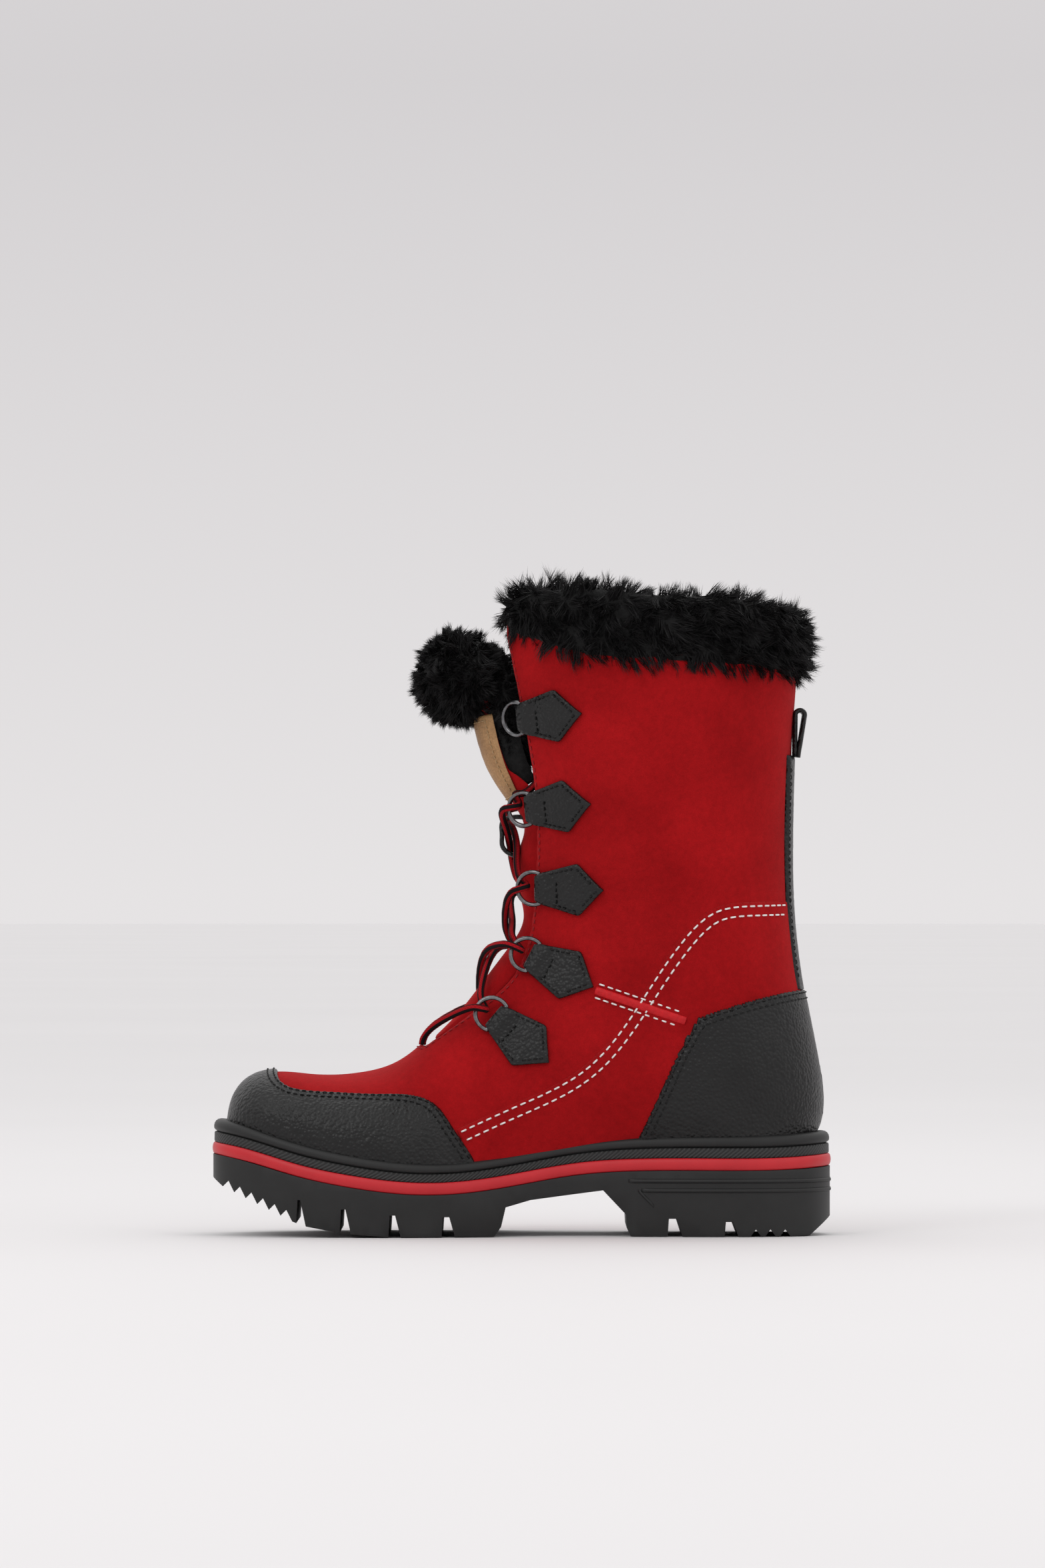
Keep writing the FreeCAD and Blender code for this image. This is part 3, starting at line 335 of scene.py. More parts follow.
def spline(values, places, where):
    """A smooth curve through values (one row each) at places, read at where."""
    values = np.asarray(values, float)
    places = np.asarray(places, float)
    count = len(places)
    step = np.diff(places)
    system = np.zeros((count, count))
    right = np.zeros((count,) + values.shape[1:])
    system[0, 0] = system[-1, -1] = 1.0
    for k in range(1, count - 1):
        system[k, k - 1] = step[k - 1]
        system[k, k] = 2 * (step[k - 1] + step[k])
        system[k, k + 1] = step[k]
        right[k] = 6 * ((values[k + 1] - values[k]) / step[k] - (values[k] - values[k - 1]) / step[k - 1])
    bend = np.linalg.solve(system, right.reshape(count, -1)).reshape(right.shape)
    k = np.clip(np.searchsorted(places, where) - 1, 0, count - 2)
    shape = (-1,) + (1,) * (values.ndim - 1)
    h = step[k].reshape(shape)
    a = (places[k + 1] - where).reshape(shape)
    b = (where - places[k]).reshape(shape)
    return (bend[k] * a ** 3 / (6 * h) + bend[k + 1] * b ** 3 / (6 * h)
            + (values[k] / h - bend[k] * h / 6) * a + (values[k + 1] / h - bend[k + 1] * h / 6) * b)


def distances(points):
    """The distance along a line to each of its points."""
    return np.concatenate([[0.0], np.cumsum(np.linalg.norm(np.diff(points, axis=0), axis=1))])


def turns(count):
    """Angles once round a circle."""
    return np.linspace(0, 2 * math.pi, count, endpoint=False)


def squared(count, across, along):
    """Pairs of cosine and sine round a circle, raised to powers that square it off."""
    for angle in turns(count):
        c, s = math.cos(angle), math.sin(angle)
        yield math.copysign(abs(c) ** across, c), math.copysign(abs(s) ** along, s)


def tree_of(points):
    """A search tree that finds the nearest of many points."""
    tree = KDTree(len(points))
    for index, point in enumerate(points):
        tree.insert(point, index)
    tree.balance()
    return tree


def smooth_line(points, spacing=1.0):
    """Points every spacing millimetres along a smooth curve through the given ones."""
    points = np.asarray(points, float)
    places = distances(points)
    count = max(int(places[-1] / spacing), 2)
    return spline(points, places, np.linspace(0.0, places[-1], count + 1))


def even_line(points, spacing):
    """Points every spacing millimetres along straight runs."""
    points = np.asarray(points, float)
    places = distances(points)
    where = np.arange(0.0, places[-1], spacing)
    return np.stack([np.interp(where, places, points[:, k]) for k in range(points.shape[1])], axis=1)


def unit(vectors):
    length = np.linalg.norm(vectors, axis=-1, keepdims=True)
    return vectors / np.maximum(length, 1e-9)


def ripple(points, size, seed=0.0):
    """Smooth noise between -1 and 1 at each point."""
    shift = Vector((seed, seed * 1.7, -seed))
    return np.array([noise.noise(Vector(p) / size + shift) for p in points])


# ---------------------------------------------------------------- the skin of the upper

# The same stations as the CAD model: (front x, z), (edge x, z), half width inner side, outer side,
# half width of the edge inner side, outer side, middle y, widest place, bluntness of the front.
STATIONS = [
    ((-136.5, 51.0), (-134.0, 46.3), 14.2, 14.2, 14.0, 14.0, -3.0, 0.70, 0.60),
    ((-134.5, 62.0), (-125.0, 43.4), 24.5, 24.5, 24.0, 24.0, -3.0, 0.72, 0.60),
    ((-128.5, 71.0), (-113.0, 39.8), 33.5, 32.5, 32.5, 31.5, -2.5, 0.74, 0.58),
    ((-116.0, 75.5), (-98.0, 36.1), 39.7, 39.2, 38.5, 38.0, -1.5, 0.75, 0.56),
    ((-97.0, 74.5), (-80.0, 32.6), 44.3, 44.3, 43.0, 43.0, -0.5, 0.75, 0.56),
    ((-78.0, 75.0), (-58.0, 29.4), 46.1, 46.8, 44.8, 45.5, 0.5, 0.74, 0.56),
    ((-61.0, 79.0), (-32.0, 29.2), 43.3, 46.8, 42.0, 45.5, 1.0, 0.72, 0.56),
    ((-46.0, 89.5), (0.0, 33.5), 37.5, 42.3, 34.5, 41.0, 0.7, 0.68, 0.58),
    ((-31.0, 102.5), (40.0, 39.5), 36.2, 38.5, 28.5, 35.0, 0.3, 0.64, 0.62),
    ((-17.0, 120.0), (92.0, 40.2), 37.5, 38.0, 31.0, 33.0, 0.0, 0.62, 0.68),
    ((-8.0, 133.5), (126.0, 41.5), 38.5, 38.5, 22.5, 22.5, 0.0, 0.64, 0.70),
    ((-1.5, 146.0), (138.0, 53.0), 39.2, 39.2, 1.0, 1.0, 0.0, 0.66, 0.70),
    ((-0.5, 161.0), (136.2, 85.0), 40.0, 40.0, 1.0, 1.0, 0.0, 0.64, 0.68),
    ((-1.5, 179.0), (130.5, 113.0), 41.5, 41.5, 1.0, 1.0, 0.0, 0.60, 0.64),
    ((-3.0, 199.0), (126.0, 149.0), 44.0, 44.0, 1.0, 1.0, 0.0, 0.56, 0.60),
    ((-5.5, 224.0), (125.3, 192.0), 47.0, 47.0, 1.0, 1.0, 0.0, 0.53, 0.57),
    ((-9.5, 254.0), (126.8, 236.0), 49.8, 49.8, 1.0, 1.0, 0.0, 0.51, 0.56),
    ((-15.0, 290.0), (130.5, 290.0), 52.0, 52.0, 1.0, 1.0, 0.0, 0.50, 0.55),
    ((-17.0, 306.0), (131.5, 308.0), 52.6, 52.6, 1.0, 1.0, 0.0, 0.50, 0.55),
]


def bezier(poles, t):
    t = t[:, None]
    a, b, c, d = (np.array(p) for p in poles)
    return a * (1 - t) ** 3 + 3 * b * t * (1 - t) ** 2 + 3 * c * t ** 2 * (1 - t) + d * t ** 3


def half_station(station, side, shares):
    """One side of a station from front to edge; shares run from 0 to 1 over both curves."""
    front, back, inner, outer, inner_edge, outer_edge, middle, widest, blunt = station
    width = inner if side < 0 else outer
    edge = inner_edge if side < 0 else outer_edge
    turn = math.acos(min(edge / width, 0.998))
    bulge = 4 / 3 * math.tan(turn / 4)
    rest = 1 - widest

    def place(along, across):
        return (front[0] + (back[0] - front[0]) * along, middle + side * across,
                front[1] + (back[1] - front[1]) * along)

    before = [place(0, 0), place(0, blunt * width), place(widest * 0.45, width), place(widest, width)]
    after = [place(widest, width), place(widest + rest * bulge / math.sin(turn), width),
             place(1 - bulge * rest * math.cos(turn) / math.sin(turn), edge + bulge * width * math.sin(turn)),
             place(1, edge)]
    first = shares <= 0.6
    return np.concatenate([bezier(before, shares[first] / 0.6), bezier(after, (shares[~first] - 0.6) / 0.4)])


HALF = 112
ROWS = 330


class Skin:
    """A dense grid over the upper: rows from toe to shaft top, columns from inner to outer edge."""

    def __init__(self):
        shares = np.linspace(0.0, 1.0, HALF + 1)
        sections = []
        for station in STATIONS:
            inner = half_station(station, -1, shares)
            outer = half_station(station, 1, shares)
            sections.append(np.concatenate([inner[::-1], outer[1:]]))
        sections = np.array(sections)
        gaps = np.linalg.norm(np.diff(sections, axis=0), axis=2).mean(axis=1)
        places = np.concatenate([[0.0], np.cumsum(gaps)])
        grid = spline(sections, places, np.linspace(0.0, places[-1], ROWS + 1))
        self.grid = grid
        rows, columns = grid.shape[:2]
        down = np.gradient(grid, axis=0)
        over = np.gradient(grid, axis=1)
        normal = unit(np.cross(over, down))
        centre = grid.mean(axis=1, keepdims=True)
        flip = np.sign(((grid - centre) * normal).sum(axis=2).mean())
        self.normal = normal * flip
        closed = (np.linalg.norm(grid[:, 0] - grid[:, -1], axis=1) < 8.0) & (grid[:, 0, 0] > 100.0)
        middle = unit(self.normal[:, 0] + self.normal[:, -1])
        self.normal[closed, 0] = middle[closed]
        self.normal[closed, -1] = middle[closed]
        self.points = grid.reshape(-1, 3)
        self.normals = self.normal.reshape(-1, 3)
        k = np.arange(rows - 1)[:, None] * columns + np.arange(columns - 1)[None, :]
        quads = np.stack([k, k + 1, k + columns + 1, k + columns], axis=2).reshape(-1, 4)
        seam = [(r * columns + columns - 1, r * columns, (r + 1) * columns, (r + 1) * columns + columns - 1)
                for r in range(rows - 1) if closed[r] and closed[r + 1]]
        self.faces = np.concatenate([quads, np.array(seam)])
        corner = self.points[self.faces[:, :3]]
        facing = np.cross(corner[:, 1] - corner[:, 0], corner[:, 2] - corner[:, 0])
        if (facing * self.normals[self.faces[:, 0]]).sum() < 0:
            self.faces = self.faces[:, ::-1]
        self.tree = BVHTree.FromPolygons([tuple(p) for p in self.points], [tuple(f) for f in self.faces])
        self.near = tree_of(self.points)

    def normal_at(self, point):
        total = Vector((0, 0, 0))
        for _, index, distance in self.near.find_n(point, 4):
            total += Vector(self.normals[index]) / (distance + 0.3)
        return total.normalized()

    def drop(self, point, normal):
        """The point of the skin under a point, looking along -normal."""
        hit = self.tree.ray_cast(point + normal * 14.0, -normal, 40.0)
        place = hit[0] if hit[0] is not None else self.tree.find_nearest(point)[0]
        return place, self.normal_at(place)


skin = Skin()


def inside_outline(points, outline):
    """Signed distance in the side view from each point to a closed outline, positive inside."""
    flat = np.asarray(points)[:, [0, 2]]
    corners = np.asarray(outline, float)
    best = np.full(len(flat), 1e9)
    odd = np.zeros(len(flat), bool)
    for start, end in zip(corners, np.roll(corners, -1, axis=0)):
        run = end - start
        length = run @ run
        if length < 1e-9:
            continue
        share = np.clip(((flat - start) @ run) / length, 0.0, 1.0)
        best = np.minimum(best, np.linalg.norm(flat - start - share[:, None] * run, axis=1))
        crosses = (start[1] > flat[:, 1]) != (end[1] > flat[:, 1])
        with np.errstate(divide="ignore", invalid="ignore"):
            reach = start[0] + (flat[:, 1] - start[1]) / (end[1] - start[1]) * run[0]
        odd ^= crosses & (flat[:, 0] < reach)
    return np.where(odd, best, -best)


class Patch:
    """A part of the skin, cut out by fields; edges made by a rolled cut are remembered."""

    def __init__(self):
        self.points = skin.points
        self.normals = skin.normals
        self.faces = [tuple(f) for f in skin.faces]
        self.rolled = np.zeros(len(self.points), bool)

    def cut(self, field, rolled=False):
        """Keeps where field is positive."""
        values = np.asarray(field, float)
        values = np.where(np.abs(values) < 1e-6, 1e-6, values)
        kept = values > 0
        points, normals, flags = list(self.points), list(self.normals), list(self.rolled)
        made = {}

        def crossing(a, b):
            key = (min(a, b), max(a, b))
            if key not in made:
                share = values[key[0]] / (values[key[0]] - values[key[1]])
                for rows, old in ((points, self.points), (normals, self.normals)):
                    rows.append(old[key[0]] * (1 - share) + old[key[1]] * share)
                flags.append(rolled)
                made[key] = len(points) - 1
            return made[key]

        faces = []
        for face in self.faces:
            count = sum(kept[k] for k in face)
            if count == len(face):
                faces.append(face)
            elif count:
                ring = []
                for a, b in zip(face, face[1:] + face[:1]):
                    if kept[a]:
                        ring.append(a)
                    if kept[a] != kept[b]:
                        ring.append(crossing(a, b))
                faces.append(tuple(ring))
        used = sorted({k for face in faces for k in face})
        index = {old: new for new, old in enumerate(used)}
        self.points = np.array([points[k] for k in used])
        self.normals = unit(np.array([normals[k] for k in used]))
        self.rolled = np.array([flags[k] for k in used])
        self.faces = [tuple(index[k] for k in face) for face in faces]

    def edge_distance(self, limit=30.0):
        edge = self.points[self.rolled]
        if not len(edge):
            return np.full(len(self.points), limit)
        tree = tree_of(edge)
        return np.array([min(tree.find(point)[2], limit) for point in self.points])

    def raised(self, height, roll, sunk=0.0, grain=0.0, grain_size=2.0, broad=0.0):
        """The points lifted off the skin, with an edge that rolls down over roll millimetres."""
        away = self.edge_distance()
        share = np.clip(1 - away / roll, 0.0, 1.0)
        lift = sunk + (height - sunk) * np.sqrt(np.maximum(1 - share ** 2, 0.0))
        if broad:
            lift = lift + broad * ripple(self.points, 24.0, 3.0) * np.clip(away / 8.0, 0.0, 1.0)
        if grain:
            lift = lift + grain * ripple(self.points, grain_size, 5.0) * np.clip(away / 2.0, 0.0, 1.0)
        return self.points + self.normals * lift[:, None]


def closed(*runs):
    """A closed outline from runs of (x, z); a run of more than two points is smoothed."""
    return np.concatenate([smooth_line(run, 1.0) if len(run) > 2 else np.array(run, float) for run in runs])


FLAP_EDGE = [(-45.0, 88.0), (-32.5, 97.0), (-20.0, 106.5), (-5.5, 119.5), (2.5, 137.0), (5.6, 159.0),
             (6.5, 184.0), (4.4, 215.5), (-3.0, 256.0), (-7.5, 279.0)]
SEAM = [(-30.5, 49.5), (-3.1, 61.9), (28.7, 78.9), (51.7, 106.4), (73.0, 137.8), (89.8, 152.4),
        (108.0, 155.0), (150.0, 156.5)]
TOE_EDGE = [(-113.6, 78.5), (-113.8, 74.5), (-110.5, 70.0), (-102.0, 67.2), (-87.0, 66.1), (-66.0, 65.5),
            (-47.5, 64.6), (-41.0, 61.9), (-32.5, 51.4), (-21.6, 34.9), (-17.0, 26.0)]
HEEL_EDGE = [(49.5, 36.0), (53.3, 44.6), (63.0, 65.0), (73.5, 88.0), (81.4, 101.9)]
HEEL_TOP = [(81.4, 101.9), (100.0, 108.0), (131.9, 114.7), (150.0, 116.0)]
STRIPE_TOP = [(-150.0, 44.0), (-130.0, 40.9), (-105.0, 33.9), (-80.0, 28.7), (-50.0, 25.3), (-25.0, 26.0),
              (0.0, 29.7), (25.0, 33.9), (50.0, 35.8), (80.0, 36.2), (120.0, 36.4), (150.0, 38.3)]
WELT_TOP = [(-150.0, 55.0), (-130.0, 50.9), (-105.0, 43.6), (-80.0, 38.0), (-50.0, 34.1), (-25.0, 34.6),
            (0.0, 38.3), (25.0, 42.8), (50.0, 45.6), (80.0, 46.6), (120.0, 47.0), (150.0, 48.6)]


def height_of(line, x):
    rows = np.array(line)
    return spline(rows[:, 1:], rows[:, 0], np.asarray(x, float))[:, 0]


def above_sole(points, drop=2.5):
    return points[:, 2] - height_of(WELT_TOP, points[:, 0]) + drop


QUARTER_OUTLINE = closed(SEAM, [(150.0, 156.5), (150.0, 20.0)], [(150.0, 20.0), (-17.0, 20.0)],
                         [(-17.0, 20.0), (-30.5, 49.5)])
OPENING = closed(FLAP_EDGE, [(-7.5, 279.0), (-9.0, 320.0)], [(-9.0, 320.0), (-80.0, 320.0)],
                 [(-80.0, 320.0), (-80.0, 110.0)], [(-80.0, 110.0), (-47.0, 89.0)])
TOE_OUTLINE = closed(TOE_EDGE, [(-17.0, 26.0), (-150.0, 26.0)], [(-150.0, 26.0), (-150.0, 78.5)])
HEEL_OUTLINE = closed(HEEL_EDGE, HEEL_TOP, [(150.0, 116.0), (150.0, 36.0)])


SUEDE_TOP = 284.0
LAP = 3.0
STRIP_LOW, STRIP_TOP, STRIP_HALF = 114.0, 223.5, 14.0


def make_panels():
    """The suede: the foot and shaft as one sheet, and the lower quarter lapped over it."""
    body = Patch()
    body.cut(above_sole(body.points))
    body.cut(SUEDE_TOP - body.points[:, 2])
    body.cut(-inside_outline(body.points, OPENING), rolled=True)
    body.cut(-inside_outline(body.points, TOE_OUTLINE) + LAP)
    body.cut(-inside_outline(body.points, QUARTER_OUTLINE) + LAP)
    for name, sign, stands in (("upper_medial", -1, ["shaft_panel_medial", "vamp"]),
                               ("upper_lateral", 1, ["shaft_panel_lateral"])):
        half = Patch()
        half.points, half.normals = body.points, body.normals
        half.faces, half.rolled = body.faces, body.rolled
        half.cut(sign * half.points[:, 1])
        lifted = half.raised(0.0, 1.6, sunk=-1.4, broad=0.35)
        thicken(piece(name, lifted, half.faces, SUEDE, slot="red_suede", stands_for=stands), 1.6)
    quarter = Patch()
    quarter.cut(above_sole(quarter.points))
    quarter.cut(inside_outline(quarter.points, QUARTER_OUTLINE), rolled=True)
    quarter.cut(-inside_outline(quarter.points, HEEL_OUTLINE) + LAP)
    lifted = quarter.raised(0.75, 1.3, sunk=-0.1, broad=0.3)
    thicken(piece("quarter", lifted, quarter.faces, SUEDE, slot="red_suede", stands_for=["quarter_panel"]),
            1.5)


def make_overlays():
    """Black leather toe cap, heel rand and back strip."""
    for name, outline, node, height in (("toe_leather", TOE_OUTLINE, "toe_cap", 1.6),
                                        ("heel_leather", HEEL_OUTLINE, "heel_rand", 2.0)):
        part = Patch()
        part.cut(above_sole(part.points))
        part.cut(inside_outline(part.points, outline), rolled=True)
        lifted = part.raised(height, 1.8, sunk=-0.2, grain=0.10, broad=0.25)
        thicken(piece(name, lifted, part.faces, LEATHER, slot="black_leather", stands_for=[node]), 1.4)
    strip = Patch()
    strip.cut(strip.points[:, 0] - 90.0)
    strip.cut(strip.points[:, 2] - STRIP_LOW)
    strip.cut(STRIP_TOP - strip.points[:, 2], rolled=True)
    strip.cut(STRIP_HALF - np.abs(strip.points[:, 1]), rolled=True)
    lifted = strip.raised(1.7, 1.8, sunk=-0.1, grain=0.12)
    thicken(piece("back_strip_leather", lifted, strip.faces, LEATHER, slot="black_leather",
                  stands_for=["back_strip"]), 1.4)


# ---------------------------------------------------------------- stitches


def contour(field, level=0.0, keep=None):
    """Chains of (point, normal) where a field over the skin has a level."""
    values = np.asarray(field, float) - level
    values = np.where(np.abs(values) < 1e-6, 1e-6, values)
    sign = values > 0
    mixed = sign[skin.faces].any(axis=1) & ~sign[skin.faces].all(axis=1)
    places, links = {}, {}
    for face in skin.faces[mixed]:
        ends = []
        for a, b in zip(face, np.roll(face, -1)):
            if sign[a] != sign[b]:
                key = (min(a, b), max(a, b))
                if key not in places:
                    share = values[key[0]] / (values[key[0]] - values[key[1]])
                    places[key] = (skin.points[key[0]] * (1 - share) + skin.points[key[1]] * share,
                                   unit(skin.normals[key[0]] * (1 - share) + skin.normals[key[1]] * share))
                ends.append(key)
        if len(ends) == 2:
            links.setdefault(ends[0], []).append(ends[1])
            links.setdefault(ends[1], []).append(ends[0])
    if keep is not None:
        dropped = {key for key in places if not keep(places[key][0])}
        links = {key: [k for k in near if k not in dropped]
                 for key, near in links.items() if key not in dropped}
    chains, seen = [], set()
    starts = [key for key, near in links.items() if len(near) < 2] + list(links)
    for start in starts:
        if start in seen:
            continue
        chain, here = [start], start
        seen.add(start)
        while True:
            ahead = [k for k in links.get(here, []) if k not in seen]
            if not ahead:
                break
            here = ahead[0]
            seen.add(here)
            chain.append(here)
        if len(chain) > 4:
            chains.append((np.array([places[k][0] for k in chain]), np.array([places[k][1] for k in chain])))
    return chains


def edge_field(outline, reach=14.0):
    """Distance over the skin from the edge of an outline, positive inside."""
    side = inside_outline(skin.points, outline)
    chains = contour(side)
    tree = tree_of(np.concatenate([points for points, _ in chains]))
    near = np.abs(side) < reach * 1.2
    distance = np.full(len(side), reach)
    distance[near] = [tree.find(point)[2] for point in skin.points[near]]
    return np.where(side > 0, distance, -distance)


STITCH_JITTER = 0.06
STITCH_SIDES = 6
STITCH_SHARES = np.array([0.0, 0.12, 0.35, 0.65, 0.88, 1.0])
STITCH_WIDTHS = np.array([0.55, 0.95, 1.0, 1.0, 0.95, 0.55])


def stitch_row(points, normals, length, gap, radius, lift):
    """Short threads that come up out of the surface and go back into it."""
    line = np.asarray(points)
    places = distances(line)
    step = length + gap
    all_points, all_faces = [], []
    for number in range(int((places[-1] - gap) / step)):
        start = number * step + gap / 2 + random.uniform(-STITCH_JITTER, STITCH_JITTER)
        where = start + STITCH_SHARES * length
        core = np.stack([np.interp(where, places, line[:, k]) for k in range(3)], axis=1)
        up = unit(np.stack([np.interp(where, places, normals[:, k]) for k in range(3)], axis=1))
        over = unit(np.cross(up, unit(core[-1] - core[0])))
        arch = lift + radius * (1.1 - 1.9 * np.abs(2 * STITCH_SHARES - 1) ** 4)
        rings = []
        for spot, out, side, height, wide in zip(core, up, over, arch, radius * STITCH_WIDTHS):
            rings.append([spot + out * height + side * math.cos(a) * wide + out * math.sin(a) * wide * 0.8
                          for a in turns(STITCH_SIDES)])
        points, faces = loft(rings)
        all_faces += [tuple(k + len(all_points) for k in face) for face in faces]
        all_points += list(points)
    return all_points, all_faces


def stitches(name, rows, material, length=3.0, gap=1.3, radius=0.42, lift=0.0, body="root"):
    points, faces = [], []
    for line, normals in rows:
        more_points, more_faces = stitch_row(line, normals, length, gap, radius, lift)
        faces += [tuple(k + len(points) for k in face) for face in more_faces]
        points += more_points
    if points:
        piece(name, points, faces, material, body=body)


def laid(starts, way):
    """Where lines from the starts, along one way, meet the skin: points and normals."""
    points, normals = [], []
    for start in starts:
        place = skin.tree.ray_cast(Vector(start), Vector(way), 119.0)[0]
        if place is not None:
            points.append(np.array(place))
            normals.append(np.array(skin.normal_at(place)))
    return np.array(points), np.array(normals)


def on_side(line, side):
    """A side-view line laid on one side of the skin."""
    return laid([(x, side * 120.0, z) for x, z in line], (0, -side, 0))


def edge_rows(field, levels, keep):
    """Lines at several distances inside an edge."""
    return [row for level in levels for row in contour(field, level, keep)]


def make_stitching():
    seam = edge_field(closed([(-60.0, 36.1)] + SEAM, [(150.0, 156.5), (150.0, 0.0)],
                             [(150.0, 0.0), (-60.0, 0.0)], [(-60.0, 0.0), (-60.0, 36.1)]))

    def on_seam(point):
        return (-50.0 < point[0] < 124.0 and above_sole(point[None, :], -1.5)[0] > 0
                and inside_outline(point[None, :], HEEL_OUTLINE)[0] < -1.0
                and inside_outline(point[None, :], TOE_OUTLINE)[0] < -1.0)

    def on_leather(point):
        return above_sole(point[None, :], -1.0)[0] > 0 and -125.0 < point[0] < 136.0

    stitches("seam_stitches", edge_rows(seam, (2.0, 6.4), on_seam), WHITE_THREAD, 3.0, 1.35, 0.42, 0.75)
    toe = edge_field(TOE_OUTLINE)
    stitches("toe_stitches", edge_rows(toe, (1.9, 4.6), on_leather), BLACK_THREAD, 2.3, 0.9, 0.34, 1.6)
    heel = edge_field(HEEL_OUTLINE)
    stitches("heel_stitches", edge_rows(heel, (2.0, 4.8), on_leather), BLACK_THREAD, 2.3, 0.9, 0.34, 2.0)
    rows = contour(edge_field(OPENING), -2.6, lambda point: 86.0 < point[2] < 279.0)
    stitches("flap_stitches", rows, make_thread("red_thread", (0.30, 0.010, 0.014)), 2.4, 1.0, 0.3, 0.0)
    rows = [laid([(160.0, side * 11.8, z) for z in np.arange(119.0, 220.0, 1.0)], (-1, 0, 0))
            for side in (-1, 1)]
    stitches("strip_stitches", rows, BLACK_THREAD, 2.3, 0.9, 0.32, 1.75)


def make_ankle_piping():
    """The raised red piping between the fourth tab and the heel, with a stitched row on each side."""
    start, end = np.array([34.3, 113.95]), np.array([76.4, 99.65])
    way = (end - start) / np.linalg.norm(end - start)
    over = np.array([-way[1], way[0]])
    for side, word in ((-1, "medial"), (1, "lateral")):
        line = even_line([start, end], 1.0)
        points, normals = on_side(line, side)
        loops = []
        for k, (point, normal) in enumerate(zip(points, normals)):
            ahead = unit(points[min(k + 1, len(points) - 1)] - points[max(k - 1, 0)])
            across = np.cross(normal, ahead)
            loops.append([point + across * 2.05 * math.cos(a) + normal * (0.5 + 1.25 * math.sin(a))
                          for a in turns(14)])
        name = "ankle_piping_" + word
        piece(name, *loft(loops), PIPING, slot="red_piping", stands_for=["ankle_strap_" + word])
        rows = [on_side(line + over * shift, side) for shift in (-3.3, 3.3)]
        stitches("piping_stitches_" + word, rows, WHITE_THREAD, 2.8, 1.3, 0.4, 0.5)


# ---------------------------------------------------------------- sole

SOLE_PLAN = [(-144.0, -6.0), (-137.4, -26.0), (-118.0, -39.5), (-88.0, -47.3), (-52.0, -48.6), (-14.0, -40.0),
             (22.0, -33.0), (62.0, -35.0), (104.0, -37.0), (132.0, -27.0), (144.0, 0.0), (132.0, 27.0),
             (104.0, 37.0), (66.0, 37.5), (32.0, 40.5), (-4.0, 48.2), (-44.0, 52.4), (-84.0, 49.6),
             (-114.0, 40.5), (-135.0, 24.0)]


def plan_line(spacing):
    """The sole's outline seen from above, with its outward directions and the distance along it."""
    wrapped = SOLE_PLAN[-4:] + SOLE_PLAN + SOLE_PLAN[:4]
    points = np.array(wrapped, float)
    places = distances(points)
    first, last = places[4], places[4 + len(SOLE_PLAN)]
    count = int((last - first) / spacing)
    where = np.linspace(first, last, count, endpoint=False)
    line = spline(points, places, where)
    ahead = unit(np.roll(line, -1, axis=0) - np.roll(line, 1, axis=0))
    return line, np.stack([ahead[:, 1], -ahead[:, 0]], axis=1), where - first


PLAN, PLAN_OUT, PLAN_ALONG = plan_line(1.5)


def sole_ring(name, profile, material, slot, stands_for=()):
    """A closed moulding round the sole. The profile is (inset, share of the welt's height, extra rise)."""
    bottom = height_of(STRIPE_TOP, PLAN[:, 0])
    top = height_of(WELT_TOP, PLAN[:, 0])
    loops, uv = [], []
    for (x, y), (out_x, out_y), z_low, z_high, along in zip(PLAN, PLAN_OUT, bottom, top, PLAN_ALONG):
        loops.append([(x - out_x * inset, y - out_y * inset, z_low + (z_high - z_low) * share + rise)
                      for inset, share, rise in profile])
        uv += [(along * MM, (share * 10 + rise) * MM) for inset, share, rise in profile]
    loops.append(loops[0])
    points, faces = loft(loops, caps=False)
    count = len(profile)
    total = count * (len(loops) - 1)
    faces = [tuple(k % total for k in face) for face in faces]
    piece(name, points[:total], faces, material, slot=slot, stands_for=stands_for, uv=uv)


def make_sole():
    knurled = [(11.0, 0.0, 0.0), (0.9, 0.0, 0.0), (0.55, 0.03, 0.1), (0.5, 0.10, 0.0), (0.55, 0.38, 0.0),
               (0.75, 0.44, 0.0), (1.6, 0.46, 0.0), (11.0, 0.46, 0.0)]
    sole_ring("welt_band", knurled, KNURL, "black_rubber")
    bead = [(11.5, 0.40, 0.0), (1.7, 0.43, 0.0), (1.6, 0.49, 0.0), (0.8, 0.53, 0.0), (0.35, 0.60, 0.0),
            (0.3, 0.70, 0.0), (0.6, 0.82, 0.0), (1.2, 0.91, 0.0), (2.2, 0.975, 0.0), (3.4, 1.0, 0.0),
            (6.0, 0.97, 0.0), (11.5, 0.9, 0.0)]
    sole_ring("welt_bead", bead, RUBBER, "black_rubber", ["welt"])
    thick = 5.8
    stripe = [(12.0, 0.0, -thick), (1.0, 0.0, -thick), (0.35, 0.0, -thick + 0.3), (-0.1, 0.0, -thick + 1.0),
              (-0.35, 0.0, -thick + 2.2), (-0.4, 0.0, -thick / 2), (-0.35, 0.0, -2.2), (-0.1, 0.0, -1.0),
              (0.35, 0.0, -0.3), (1.0, 0.0, 0.0), (12.0, 0.0, 0.0)]
    sole_ring("red_stripe", stripe, RED_RUBBER, "red_rubber", ["midsole_stripe"])
    weld = nodes["outsole"].modifiers.new("weld", "WELD")
    weld.merge_threshold = 0.00001
    edge = nodes["outsole"].modifiers.new("edge", "BEVEL")
    edge.width = 0.00045
    edge.segments = 2
    edge.limit_method = "ANGLE"
    edge.angle_limit = math.radians(38)
    make_heel_ribs()


RIB_HIGH, RIB_LOW = 25.6, 21.2
RIB_DEPTH, RIB_HALF = 0.95, 1.0


